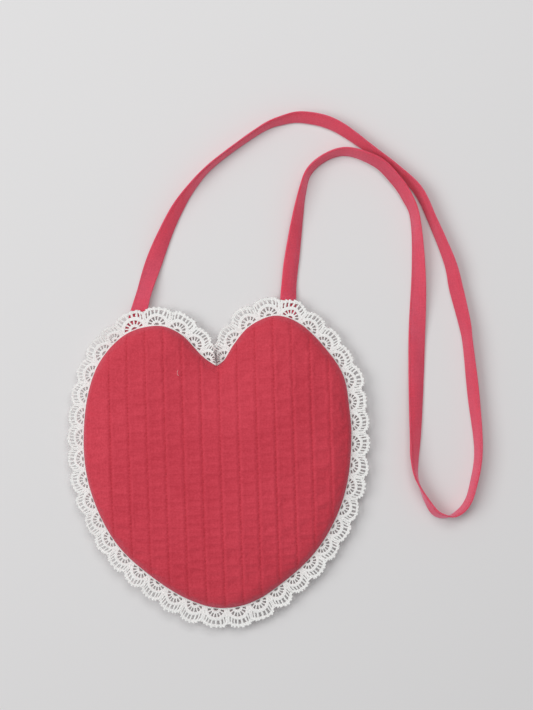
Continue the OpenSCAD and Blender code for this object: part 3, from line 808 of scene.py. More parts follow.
@dataclass(frozen=True)
class ClothTest:
    """Settings of the cloth that is blown up between its lines of stitches.

    Attributes:
        pressure: how hard the wadding pushes.
        spare: how much larger the cloth is cut than the space it covers, as a share.
        cap: the furthest that a point may move.
        frames: how many frames it settles for.
    """

    pressure: float = 3.0
    spare: float = 0.021
    cap: float = 2.5 * MM
    frames: int = 16

    def settle(self, name: str, points: Array, triangles: Array, held: Array) -> Array:
        """Blows the cloth up and lets it settle.

        Args:
            name: name for the working piece.
            points: corner points at rest.
            triangles: corner numbers, with their faces towards the side that swells.
            held: which points don't move.

        Returns:
            The settled points.
        """
        working = mesh_object(name + "_cloth", points, triangles)
        working.vertex_groups.new(name="sewn").add(np.flatnonzero(held).tolist(), 1.0, "REPLACE")
        modifier = working.modifiers.new("settle", "CLOTH")
        settings = {
            "quality": 5, "mass": 0.15, "tension_stiffness": 12.0, "compression_stiffness": 12.0,
            "shear_stiffness": 4.0, "bending_stiffness": 0.25,
            "tension_damping": 6.0, "compression_damping": 6.0,
            "use_pressure": True, "uniform_pressure_force": self.pressure, "shrink_min": -self.spare,
            "vertex_group_mass": "sewn", "pin_stiffness": 1.0,
        }
        for key, value in settings.items():
            setattr(modifier.settings, key, value)
        modifier.settings.effector_weights.gravity = 0.0
        modifier.collision_settings.use_collision = False
        modifier.point_cache.frame_end = self.frames
        for frame in range(1, self.frames + 1):
            bpy.context.scene.frame_set(frame)
        evaluated = working.evaluated_get(bpy.context.evaluated_depsgraph_get())
        moved = points_of(evaluated.to_mesh()) - points
        evaluated.to_mesh_clear()
        bpy.context.scene.frame_set(1)
        bpy.data.objects.remove(working)
        size = np.linalg.norm(moved, axis=1)
        log.info("%s: cloth moved %.2f mm on average, %.2f at most", name, size.mean() / MM, size.max() / MM)
        return points + moved * np.minimum(1.0, self.cap / np.maximum(size, 1e-9))[:, None]


@dataclass
class QuiltedPanel:
    """One quilted panel with a turned edge: outer cloth on one side, its backing on the other.

    Attributes:
        name: name of the piece.
        node: CAD node that it stands for.
        side: which way it faces.
        cut: its flat cut.
        plain: height of the outer cloth between the lines, from place and distance to the seam.
        depth: depth of the quilting lines.
        under: height of the hidden side, as plain.
        cloth: how it is blown up.
        rim_bulge: how far the rim's middle stands out.
        crease: half the width of the narrow crease along a quilting line.
        shares: parts of the depth that this crease and the wide valley round it take.
        surface: points of the finished outer cloth.
    """

    name: str
    node: str
    side: Side
    cut: PanelCut
    plain: HeightField
    depth: float
    under: HeightField
    cloth: ClothTest = ClothTest()
    rim_bulge: float = 0.25 * MM
    crease: float = 0.8 * MM
    shares: tuple[float, float] = (0.25, 0.15)
    surface: Array = field(init=False)

    def build(self, finish: Material) -> None:
        """Makes the panel, riding on the purse."""
        flat, triangles, rim_count = self.cut.mesh()
        away = self.cut.heart.distance(flat)
        beside = self.cut.quilting.line_distance(flat)
        crease = np.exp(-((beside / self.crease) ** 2))
        valley = 0.5 + 0.5 * np.cos(2 * np.pi * beside / self.cut.quilting.pitch)
        share = self.shares[0] * crease + self.shares[1] * valley
        dent = np.clip(away / (3 * MM), 0, 1) * self.depth * share
        points = np.column_stack([flat, self.plain(flat, away) - self.side.value * dent])
        on_line = beside < 0.05 * self.cut.quilting.pitch / self.cut.across
        held = on_line & (away > 2 * MM) | (away < 0.3 * MM)
        held[:rim_count] = True
        faces = triangles if self.side is Side.FRONT else triangles[:, ::-1]
        points = self.cloth.settle(self.name, points, faces, held)
        if self.side is Side.BACK:
            points[:, 2] = np.maximum(points[:, 2], 0.0)
        self.surface = points
        piece = self.closed(points, faces, rim_count)
        modifier = piece.modifiers.new("round", "SUBSURF")
        modifier.levels = modifier.render_levels = 1
        shade_smooth(bake_modifiers(piece))
        places = points_of(piece.data)[:, :2]
        near = self.cut.quilting.line_distance(places) < 0.6 * self.cut.quilting.pitch
        store(piece, quilted=np.clip((self.cut.heart.distance(places) - 1 * MM) / (2 * MM), 0, 1) * near)
        dress(piece, finish, self.node)

    def closed(self, points: Array, faces: Array, rim_count: int) -> Piece:
        """Closes the outer cloth with a rounded rim and its hidden side."""
        flat, inner, _ = self.cut.mesh(coarse=3)
        hidden = np.column_stack([flat, self.under(flat, self.cut.heart.distance(flat))])
        middle = (points[:rim_count] + hidden[:rim_count]) / 2
        middle[:, :2] += outward(points[:rim_count, :2]) * self.rim_bulge
        first, second = len(points), len(points) + len(hidden)
        walls = []
        for i in range(rim_count):
            j = (i + 1) % rim_count
            walls += [(i, j, second + j, second + i), (second + i, second + j, first + j, first + i)]
        if self.side is Side.FRONT:
            inner = inner[:, ::-1]
        else:
            walls = [wall[::-1] for wall in walls]
        corners = np.vstack([points, hidden, middle])
        return mesh_object(self.name, corners, [*faces.tolist(), *(inner + first).tolist(), *walls])

    def height_at(self, places: Array) -> Array:
        """Height of the finished outer cloth nearest to each place."""
        found = []
        for place in places:
            gaps = ((self.surface[:, :2] - place) ** 2).sum(axis=1)
            near = np.argpartition(gaps, 3)[:3]
            weight = 1 / (gaps[near] + 1e-9)
            found.append(float((self.surface[near, 2] * weight).sum() / weight.sum()))
        return np.array(found)


@dataclass
class HiddenLayer:
    """Wadding or lining inside the purse: a smooth sheet, closed all round.

    Attributes:
        name: name of the piece.
        node: CAD node that it stands for.
        slot: material slot of the record; not used.
        cut: its flat cut.
        top: height of its upper side.
        bottom: height of its lower side.
    """

    name: str
    node: str
    slot: str
    cut: PanelCut
    top: HeightField
    bottom: HeightField

    def build(self, finish: Material) -> Piece:
        """Makes the layer, as one closed piece on the purse."""
        flat, triangles, rim_count = self.cut.mesh(coarse=2)
        away = self.cut.heart.distance(flat)
        sides = [np.column_stack([flat, height(flat, away)]) for height in (self.top, self.bottom)]
        count = len(flat)
        turned = [(i, (i + 1) % rim_count) for i in range(rim_count)]
        walls = [(i, j, count + j, count + i) for i, j in turned]
        faces = [*triangles.tolist(), *(triangles[:, ::-1] + count).tolist(), *walls]
        piece = shade_smooth(mesh_object(self.name, np.vstack(sides), faces))
        return dress(piece, finish, self.node)


# Geometry node trees


class GeometryTree(Nodes):
    """A geometry node tree with named inputs, built node by node."""

    def __init__(self, name: str) -> None:
        """Makes a tree that takes a mesh of lines."""
        super().__init__(bpy.data.node_groups.new(name, "GeometryNodeTree"))
        self.source = self.tree.nodes.new("NodeGroupInput")
        lines = self.inputs("Geometry", "Geometry")[0]
        self.path = self.value("GeometryNodeMeshToCurve", {"Mesh": lines})

    def inputs(self, kind: str, *names: str) -> list[Value]:
        """Adds named inputs of one kind."""
        for name in names:
            self.tree.interface.new_socket(name, in_out="INPUT", socket_type="NodeSocket" + kind)
        return [Value(self, self.source.outputs[name]) for name in names]

    def stored(self, name: str) -> Value:
        """Reads the number that each point stores under a name."""
        kind = "GeometryNodeInputNamedAttribute"
        return self.value(kind, {"Name": name}, "Attribute", data_type="FLOAT")

    def finish(self, mesh: Value, material: Value) -> GeometryTree:
        """Ends the tree: instances made real, shaded smoothly, with their material."""
        real = self.value("GeometryNodeRealizeInstances", {0: mesh})
        smooth = self.value("GeometryNodeSetShadeSmooth", {0: real})
        dressed = self.value("GeometryNodeSetMaterial", {"Geometry": smooth, "Material": material})
        self.tree.interface.new_socket("Geometry", in_out="OUTPUT", socket_type="NodeSocketGeometry")
        self.node("NodeGroupOutput", {0: dressed})
        return self

    def apply(self, piece: Piece, **values: object) -> Piece:
        """Runs the tree on a piece and bakes the result.

        Args:
            piece: the piece that carries the tree.
            **values: a value for each named input, with underlines for spaces.

        Returns:
            The piece, with its plain new mesh.
        """
        modifier = piece.modifiers.new(self.tree.name, "NODES")
        modifier.node_group = self.tree
        sockets = {s.name: s.identifier for s in self.tree.interface.items_tree if s.in_out == "INPUT"}
        for key, value in values.items():
            modifier[sockets[key.replace("_", " ")]] = value
        return bake_modifiers(piece)


def stitch_tree() -> GeometryTree:
    """A tree that lays one short thread after another along each path."""
    tree = GeometryTree("stitches along a path")
    pitch, length, thickness = tree.inputs("Float", "Pitch", "Length", "Thickness")
    material = tree.inputs("Material", "Material")[0]
    spots = tree.node("GeometryNodeCurveToPoints", {"Curve": tree.path, "Length": pitch}, mode="LENGTH")
    tangent = {"Vector": spots.outputs["Tangent"]}
    placed = tree.value("GeometryNodeInstanceOnPoints", {
        "Points": spots.outputs["Points"],
        "Instance": tree.value("GeometryNodeMeshUVSphere", {"Segments": 6, "Rings": 4, "Radius": 0.5}),
        "Rotation": tree.value("FunctionNodeAlignRotationToVector", tangent, axis="X"),
        "Scale": tree.joined(length, thickness, thickness),
    })
    return tree.finish(placed, material)


@dataclass
class StitchRows:
    """Rows of stitches, laid along paths on the cloth.

    Attributes:
        name: name of the piece.
        pitch: length from one stitch to the next.
        length: length of a stitch.
        thickness: thickness of the thread.
    """

    name: str
    pitch: float = 2.2 * MM
    length: float = 1.75 * MM
    thickness: float = 0.32 * MM

    def build(self, tree: GeometryTree, paths: Sequence[Array], finish: Material, slot: str) -> Piece:
        """Makes the stitches.

        Args:
            tree: the tree that lays them.
            paths: points of each row.
            finish: material of the thread.
            slot: material slot of the record; not used.

        Returns:
            The piece, riding on the purse.
        """
        piece = line_object(self.name, paths)
        tree.apply(piece, Pitch=self.pitch, Length=self.length, Thickness=self.thickness, Material=finish)
        return dress(piece, finish)


# Lace


def lace_tree() -> GeometryTree:
    """A tree that repeats one scallop of threads along the seam and bends the strip round it."""
    # Scale of the noise that moves the threads, and of the waves along and out from the seam
    stray_scale, wave_along, wave_out = 150.0, 70.0, 40.0
    # How sharply the strip is squeezed where room is short, and how much of what is lost heaps up
    squeeze, heap = 4.0, 0.45
    tree = GeometryTree("scallops along the seam")
    motif = tree.inputs("Object", "Scallop")[0]
    count = tree.inputs("Int", "Count")[0]
    nominal, level, flatness = tree.inputs("Float", "Nominal pitch", "Level", "Flatness")
    ripple, looseness = tree.inputs("Float", "Ripple", "Looseness")
    material = tree.inputs("Material", "Material")[0]

    pitch = tree.value("GeometryNodeCurveLength", {0: tree.path}) / count
    spots = {"Count": count, "Start Location": tree.joined(pitch * 0.5), "Offset": tree.joined(pitch)}
    placed = tree.value("GeometryNodeInstanceOnPoints", {
        "Points": tree.value("GeometryNodeMeshLine", spots),
        "Instance": tree.value("GeometryNodeObjectInfo", {"Object": motif}, "Geometry"),
        "Scale": tree.joined(pitch / nominal, 1.0, 1.0),
    })
    real = tree.value("GeometryNodeRealizeInstances", {0: placed})
    threads = tree.value("GeometryNodeMeshToCurve", {"Mesh": real})
    thick = tree.stored("thread_radius")
    tubes = tree.value("GeometryNodeCurveToMesh", {
        "Curve": tree.value("GeometryNodeSetCurveRadius", {"Curve": threads, "Radius": thick}),
        "Profile Curve": tree.value("GeometryNodeCurvePrimitiveCircle", {"Resolution": 6, "Radius": 1.0}),
        "Fill Caps": True, "Scale": thick,
    })

    here = tree.value("GeometryNodeInputPosition", {})
    x, y, up = tree.split(here)
    wobble = tree.vector("SUBTRACT", tree.noise(here, stray_scale, 1.0, output="Color"), (0.5, 0.5, 0.5))
    stray_x, stray_y, _ = tree.split(wobble)
    free = tree.math("MAXIMUM", y, 0.0) * looseness
    along = x + stray_x * free
    out = y + stray_y * free

    def on_seam(inputs: dict) -> bpy.types.Node:
        """Samples the seam line at this place along it."""
        where = {"Curves": tree.path, "Length": along, **inputs}
        return tree.node("GeometryNodeSampleCurve", where, mode="LENGTH", data_type="FLOAT")

    def sampled(name: str) -> Value:
        """Reads a number that the seam line stores."""
        return Value(tree, on_seam({"Value": tree.stored(name)}).outputs["Value"])

    along = along + sampled("lace_slip")
    seam = on_seam({})
    outwards = tree.vector("CROSS_PRODUCT", (0.0, 0.0, 1.0), Value(tree, seam.outputs["Tangent"]))
    reach = out * sampled("lace_width")
    crowding = tree.math("POWER", tree.math("MAXIMUM", reach, 0.0) / sampled("lace_room"), squeeze)
    spread = reach / tree.math("POWER", crowding + 1.0, 1 / squeeze)
    spare = tree.math("MAXIMUM", reach - spread, 0.0)
    place = tree.joined(along * wave_along, 3.7, out * wave_out)
    wave = (tree.noise(place, 1.0, 1.0) - 0.5) * ripple
    rise = tree.math("MAXIMUM", out, 0.0) * (wave + sampled("lace_lift"))
    height = up * flatness + (level + rise) + spare * heap
    sideways = tree.value("ShaderNodeVectorMath", {
        0: tree.vector("NORMALIZE", outwards), "Scale": spread}, operation="SCALE")
    moved = tree.vector("ADD", Value(tree, seam.outputs["Position"]), sideways)
    bent = {"Geometry": tubes, "Position": tree.vector("ADD", moved, tree.joined(0.0, 0.0, height))}
    return tree.finish(tree.value("GeometryNodeSetPosition", bent), material)


@dataclass
class LaceEdging:
    """Two rows of fans, sewn into the seam all round the heart.

    Attributes:
        heart: the seam line.
        scallops: how many scallops go round.
        pitch: nominal width of one.
        root: distance from the seam to the hole at its root.
        inner_fan: radii between which the inner slots lie.
        valley_reach: how far the valley between two scallops stands out from the seam.
        outer_reach: how far the top of a scallop does.
        cord: radius of a thick cord.
        bar: radius of a thin bar.
        level: height of the lace's middle.
        gather: place on the seam where the lace is gathered.
        gather_reach: how far the gathers reach along the seam.
        bead: the longest step between two points of a thread.
        beads: shares of a thread's radius that its points take in turn.
        flatness: how much of the threads' thickness is kept, as a share.
        ripple: how strongly the lace waves up and down, as a share of its distance from the seam.
        looseness: how far its threads stray, as a share of their distance from the seam.
    """

    heart: HeartOutline
    scallops: int = 44
    pitch: float = 12.8 * MM
    root: float = 0.4 * MM
    inner_fan: tuple[float, float] = (3.1 * MM, 5.0 * MM)
    valley_reach: float = 6.2 * MM
    outer_reach: float = 11.9 * MM
    cord: float = 0.52 * MM
    bar: float = 0.36 * MM
    level: float = (SEAM_TOP + SEAM_BOTTOM) / 2
    gather: tuple[float, float] = (-62 * MM, 72 * MM)
    gather_reach: float = 10 * MM
    bead: float = 0.9 * MM
    beads: tuple[float, float] = (0.84, 1.18)
    flatness: float = 0.62
    ripple: float = 0.22
    looseness: float = 0.3

    def threads(self) -> list[tuple[Array, float]]:
        """Threads of one scallop, flat: points along and out from the seam, and a radius each."""
        half = self.pitch / 2
        low, high = self.inner_fan
        made = [
            (np.column_stack([np.linspace(-half, half, 9), np.full(9, v * MM)]), 0.6 * MM)
            for v in (-2.8, -1.7, -0.6, 0.15)
        ]
        for hub in (1.15 * MM, 0.4 * MM):
            made.append((self.arc(low - hub, low - hub - 0.1 * MM, 98, 11), 0.5 * MM))
        inner = self.arc(low - 0.2 * MM, low - 0.2 * MM, 84, 8)
        outer = self.arc(high + 0.3 * MM, high + 0.4 * MM, 84, 8)
        made.extend((np.array([a, b]), 1.12 * self.bar) for a, b in zip(inner, outer))
        for grow in (0.45 * MM, 1.0 * MM, 1.5 * MM):
            tall, span = high + 0.1 * MM + grow, 92 - 6 * grow / MM
            made.append((self.arc(high + 0.8 * grow, tall, span, 17), self.cord))
        edge = self.outer_edge(0.0)
        made += [(edge, self.cord), (self.outer_edge(0.75 * MM), 0.36 * MM)]
        for k, foot in enumerate(self.arc(high + 1.5 * MM, high + 1.9 * MM, 78, 10)):
            tip = edge[int(round((0.04 + 0.92 * k / 9) * 36))]
            knob = tip + (tip - foot) / np.linalg.norm(tip - foot) * 0.9 * MM
            made += [(np.array([foot, tip]), 1.38 * self.bar), (np.array([tip, knob]), 0.62 * MM)]
        made.append((np.array([[half, 0.6 * MM], [half, self.valley_reach - 0.3 * MM]]), 0.6 * MM))
        for side in (-1, 1):
            cross = [[half + side * 1.1 * MM, 0.4 * MM], [half - side * 0.9 * MM, 2.9 * MM]]
            made.append((np.array(cross), 0.45 * MM))
        return made

    def arc(self, wide: float, tall: float, span: float, steps: int) -> Array:
        """Points of an arc round the hole at a scallop's root."""
        angle = np.radians(np.linspace(-span, span, steps))
        return np.column_stack([wide * np.sin(angle), self.root + tall * np.cos(angle)])

    def outer_edge(self, inset: float) -> Array:
        """The rounded outer edge of a scallop, from one valley to the next."""
        angle = np.radians(np.linspace(-90, 90, 37))
        rise = self.outer_reach - 1.2 * MM - self.valley_reach - inset
        wide = self.pitch / 2 - 0.6 * inset
        return np.column_stack([wide * np.sin(angle), self.valley_reach + rise * np.cos(angle) ** 0.85])

    def motif(self) -> Piece:
        """One scallop as bare threads, with a radius at each point: beads of thick and thin."""
        paths, radii = [], []
        for thread, radius in self.threads():
            fine = [thread[0]]
            for a, b in zip(thread[:-1], thread[1:]):
                pieces = max(1, int(np.linalg.norm(b - a) / self.bead))
                fine.extend(a + (b - a) * k / pieces for k in range(1, pieces + 1))
            paths.append(np.column_stack([fine, np.zeros(len(fine))]))
            radii.extend(radius * self.beads[i % 2] for i in range(len(fine)))
        motif = line_object("scallop_threads", paths)
        store(motif, thread_radius=radii)
        return motif

    def seam_line(self) -> Piece:
        """The seam line, which stores how the lace lies at each place."""
        whole = self.heart.perimeter
        along = np.linspace(0, whole, 900)
        flat = self.heart.at(along)
        line = line_object("lace_edging", [np.column_stack([flat, np.zeros(len(flat))])])
        from_notch = np.minimum(along, whole - along)
        from_gather = along - along[np.argmin(np.linalg.norm(flat - self.gather, axis=1))]
        gathered = np.exp(-((from_gather / self.gather_reach) ** 2))
        over = np.exp(-((from_notch / (14 * MM)) ** 2)) * (along > whole / 2) + 1.2 * gathered
        knots = [0.0, 0.05, 0.12, 0.2, 0.3, 0.4, 0.47, 0.5, 0.53, 0.6, 0.75, 0.83, 0.89, 0.95, 1.0]
        widths = [1.0, 1.06, 0.98, 0.98, 1.0, 1.0, 1.1, 1.18, 1.12, 1.0, 0.87, 0.92, 1.0, 1.1, 1.0]
        store(
            line,
            lace_room=1.15 * np.maximum(from_notch, 0.8 * MM) + (from_notch / (24 * MM)) ** 8,
            lace_width=np.interp(along / whole, knots, widths),
            lace_slip=-0.5 * from_gather * gathered,
            lace_lift=0.02 + 0.04 * np.sin(along / (17 * MM)) + 0.2 * over,
        )
        return line

    def build(self, tree: GeometryTree, finish: Material) -> None:
        """Makes the lace, as one piece on the purse."""
        motif = self.motif()
        piece = self.seam_line()
        tree.apply(
            piece, Scallop=motif, Count=self.scallops, Nominal_pitch=self.pitch, Level=self.level,
            Flatness=self.flatness, Ripple=self.ripple, Looseness=self.looseness, Material=finish,
        )
        bpy.data.objects.remove(motif)
        dress(piece, finish, "lace_trim")


# Strap


@dataclass
class ShoulderStrap:
    """The long flat strap, folded from one strip and topstitched along one edge.

    Attributes:
        width: its width.
        thickness: its thickness.
        spacing: distance between two rings of the mesh.
        route: points of its middle, with its roll in degrees: 0 and 180 lie flat.
        section: points round its section, as shares of half its width and thickness.
        stitches_at: how far from its middle the topstitching lies, as a share of half its width.
        stitch_rise: how high the stitches lie, as a share of half its thickness.
        pucker: how unevenly it is puffed, as a share of its thickness.
        sewn: distances beyond its last ring between which an end is sewn in.
        rings: points of its middle line, evenly spaced.
        across: direction of its width at each ring.
        facing: direction of its thickness at each ring.
        along: distance of each ring from its start.
    """

    width: float = 10.2 * MM
    thickness: float = 1.2 * MM
    spacing: float = 2.2 * MM
    route: tuple[tuple[float, float, float, float], ...] = (
        (-0.0509, 0.0819, 0.0057, 180), (-0.0498, 0.0857, 0.0057, 180), (-0.045, 0.1035, 0.0032, 156),
        (-0.040, 0.1195, 0.0018, 180), (-0.033, 0.1375, 0.0036, 214), (-0.0245, 0.155, 0.0044, 230),
        (-0.0145, 0.1695, 0.0051, 249), (-0.0015, 0.183, 0.0052, 258), (0.0255, 0.2025, 0.0051, 255),
        (0.039, 0.2085, 0.005, 246), (0.0525, 0.2105, 0.0047, 234), (0.072, 0.2055, 0.0046, 232),
        (0.096, 0.189, 0.005, 246), (0.109, 0.179, 0.005, 246), (0.1225, 0.166, 0.005, 242),
        (0.1315, 0.1475, 0.0047, 243), (0.142, 0.122, 0.0049, 232), (0.146, 0.1055, 0.0041, 221),
        (0.151, 0.085, 0.0045, 230), (0.153, 0.072, 0.0049, 240), (0.1565, 0.0405, 0.0046, 233),
        (0.1595, 0.0065, 0.0051, 249), (0.156, -0.016, 0.0052, 253), (0.152, -0.0265, 0.0052, 255),
        (0.1455, -0.0325, 0.0053, 262), (0.1385, -0.0335, 0.0053, 284), (0.1315, -0.0295, 0.0053, 290),
        (0.1225, -0.0125, 0.0053, 263), (0.1205, 0.0005, 0.005, 241), (0.121, 0.018, 0.0042, 224),
        (0.122, 0.072, 0.0013, 184), (0.123, 0.1145, 0.0039, 142), (0.121, 0.1475, 0.0051, 120),
        (0.116, 0.1615, 0.0056, 124), (0.108, 0.173, 0.0062, 126), (0.0965, 0.1835, 0.0062, 123),
        (0.0765, 0.1895, 0.0053, 112), (0.0585, 0.1805, 0.0052, 110), (0.0515, 0.164, 0.0051, 116),
        (0.0455, 0.125, 0.0032, 153), (0.0435, 0.106, 0.0032, 156),
        (0.0430, 0.0931, 0.0057, 180), (0.0427, 0.0891, 0.0057, 180),
    )
    section: tuple[tuple[float, float], ...] = (
        (1.0, 0.0), (0.985, 0.55), (0.93, 0.9), (0.82, 0.97), (0.4, 1.0), (-0.1, 1.02), (-0.5, 0.98),
        (-0.68, 0.94), (-0.76, 0.66), (-0.84, 0.9), (-0.93, 0.86), (-0.985, 0.5), (-1.0, 0.0),
        (-0.985, -0.5), (-0.93, -0.86), (-0.84, -0.9), (-0.76, -0.66), (-0.68, -0.94), (-0.2, -1.0),
        (0.4, -1.0), (0.82, -0.97), (0.93, -0.9), (0.985, -0.55),
    )
    stitches_at: float = 0.76
    stitch_rise: float = 0.72
    pucker: float = 0.05
    sewn: tuple[float, float] = (0.1 * MM, 6.4 * MM)
    rings: Array = field(init=False)
    across: Array = field(init=False)
    facing: Array = field(init=False)
    along: Array = field(init=False)

    def __post_init__(self) -> None:
        """Works out the strap's middle line, and which way it faces at each ring."""
        fine, lengths = smooth_line(np.array(self.route), 12)
        self.along = np.linspace(0, lengths[-1], int(lengths[-1] / self.spacing))
        sampled = sampled_line(self.along, lengths, fine)
        self.rings = sampled[:, :3]
        roll = np.radians(sampled[:, 3:])
        forward = np.gradient(self.rings, axis=0)
        forward /= np.linalg.norm(forward, axis=1)[:, None]
        left = np.cross((0.0, 0.0, 1.0), forward)
        left /= np.linalg.norm(left, axis=1)[:, None]
        up = np.cross(forward, left)
        self.across = np.cos(roll) * left + np.sin(roll) * up
        self.facing = -np.sin(roll) * left + np.cos(roll) * up

    @property
    def length(self) -> float:
        """Length of the strap's middle line."""
        return float(self.along[-1])

    def ribbon(self, name: str, node: str, lines: Sequence[Array], along: Array, finish: Material) -> Piece:
        """Sweeps the strap's section, with a map of its cloth in metres.

        Args:
            name: name of the piece.
            node: CAD node that it stands for.
            lines: its rings, and the directions across and out of its face at each.
            along: distance of each ring from its start.
            finish: its material.

        Returns:
            The piece, riding on the purse.
        """
        rings, across, facing = (line[:, None] for line in lines)
        size = np.array((self.width, self.thickness)) / 2
        section = np.array(self.section)
        count = len(section)
        rng = np.random.default_rng(7)
        pucker = np.interp(along, along[::3], rng.normal(0, self.pucker, len(along[::3])))
        near_stitches = np.exp(-(((section[:, 0] + self.stitches_at) / 0.25) ** 2))
        swollen = section[:, 1] * (1 + pucker[:, None] * (1 + 2 * near_stitches))
        points = rings + section[:, :1] * size[0] * across + swollen[:, :, None] * size[1] * facing
        ring = list(zip(range(count), [*range(1, count), 0]))
        last = (len(rings) - 1) * count
        starts = range(0, last, count)
        faces = [(i + k, i + m, i + count + m, i + count + k) for i in starts for k, m in ring]
        faces += [range(count)[::-1], range(last, last + count)]
        piece = mesh_object(name, points.reshape(-1, 3), faces)
        sides = np.diff(np.vstack([section, section[:1]]) * size, axis=0)
        around = np.concatenate([[0.0], np.cumsum(np.linalg.norm(sides, axis=1))])
        uv = piece.data.uv_layers.new(name="cloth")
        for face in piece.data.polygons:
            ks = [v % count for v in face.vertices]
            wraps = max(ks) - min(ks) == count - 1
            for loop, vertex in zip(face.loop_indices, face.vertices):
                i, k = divmod(vertex, count)
                uv.data[loop].uv = (along[i], around[count] if wraps and k == 0 else around[k])
        shape = bmesh.new()
        shape.from_mesh(piece.data)
        bmesh.ops.recalc_face_normals(shape, faces=shape.faces)
        shape.to_mesh(piece.data)
        shape.free()
        return dress(shade_smooth(piece), finish, node)

    def build(self, finish: Material) -> Piece:
        """Makes the free length of the strap."""
        log.info("the strap's middle line is %.3f m long", self.length)
        lines = (self.rings, self.across, self.facing)
        return self.ribbon("shoulder_strap", "strap", lines, self.along, finish)

    def build_ends(self, finish: Material) -> None:
        """Makes the two ends of the strap, sewn flat inside the seam."""
        for side, end, next_ring in (("left", 0, 1), ("right", -1, -2)):
            step = (self.rings[end] - self.rings[next_ring]) * (1, 1, 0)
            reach = np.linspace(*self.sewn, 5)
            rings = self.rings[end] + reach[:, None] * step / np.linalg.norm(step)
            lines = (rings, *(np.tile(way[end], (5, 1)) for way in (self.across, self.facing)))
            self.ribbon(f"strap_end_{side}_cloth", f"strap_end_{side}", lines, reach, finish)

    def stitch_paths(self) -> list[Array]:
        """Rows of topstitching, on both faces near one edge."""
        row = self.rings - self.stitches_at * self.width / 2 * self.across
        lifted = self.thickness / 2 * self.stitch_rise * self.facing
        return [(row + lifted)[3:-3], (row - lifted)[3:-3]]


# Zip


@dataclass
class ZipFastener:
    """The zip across the back: tapes, teeth, stops, slider and pull, with their edges softened.

    Attributes:
        bevel: width of the softened edges of the teeth and stops.
        body_bevel: the same of the slider and pull.
        tape_bevel: the same of the tapes.
        gap: distance between the two tapes along the teeth.
        closing: distances from the middle between which the gap closes, beyond the stops.
    """

    bevel: float = 0.12 * MM
    body_bevel: float = 0.16 * MM
    tape_bevel: float = 0.05 * MM
    gap: float = 4 * MM
    closing: tuple[float, float] = (65 * MM, 66.8 * MM)

    def close_ends(self, shape: bmesh.types.BMesh) -> None:
        """Brings a tape's inner edge to the zip's middle beyond the stops."""
        start, end = self.closing
        for x in (-end, -start, start, end):
            everything = [*shape.verts, *shape.edges, *shape.faces]
            bmesh.ops.bisect_plane(shape, geom=everything, dist=1e-7, plane_co=(x, 0, 0), plane_no=(1, 0, 0))
        for vert in shape.verts:
            beside = vert.co.y - ZIP_Y
            if abs(vert.co.x) > (start + end) / 2 and abs(beside) < 0.55 * self.gap:
                vert.co.y = ZIP_Y + math.copysign(0.04 * MM, beside)

    def softened(self, frame: dict, node: str, finish: Material, bevel: float, body: str = "purse") -> None:
        """Copies a CAD node's mesh, welds it and softens its edges.

        Args:
            frame: the loaded frame.
            node: the CAD node.
            finish: material of the piece.
            bevel: width of the softened edges.
            body: the body that it rides on.
        """
        cloth = node.startswith("zip_tape")
        name, slot = (f"{node}_cloth", "zip_tape") if cloth else (f"{node}_brass", "zip_brass")
        piece = linked(name, frame["nodes"][node].data.copy())
        shape = bmesh.new()
        shape.from_mesh(piece.data)
        bmesh.ops.remove_doubles(shape, verts=shape.verts, dist=1e-6)
        bmesh.ops.dissolve_limit(shape, angle_limit=math.radians(1), verts=shape.verts, edges=shape.edges)
        if cloth:
            self.close_ends(shape)
        shape.to_mesh(piece.data)
        shape.free()
        modifier = piece.modifiers.new("soften", "BEVEL")
        modifier.width = bevel
        modifier.segments = 2
        modifier.limit_method = "ANGLE"
        modifier.angle_limit = math.radians(35)
        modifier.use_clamp_overlap = True
        dress(bake_modifiers(piece), finish, node, body)

    def build(self, frame: dict, brass: Material, tape: Material) -> None:
        """Makes every piece of the zip."""
        for half in ("upper", "lower"):
            self.softened(frame, f"zip_tape_{half}", tape, self.tape_bevel)
            self.softened(frame, f"zip_teeth_{half}", brass, self.bevel)
        for stop in ("zip_top_stops", "zip_bottom_stop"):
            self.softened(frame, stop, brass, self.bevel)
        for body in ("slider", "pull"):
            self.softened(frame, f"zip_{body}", brass, self.body_bevel, body)


# The purse


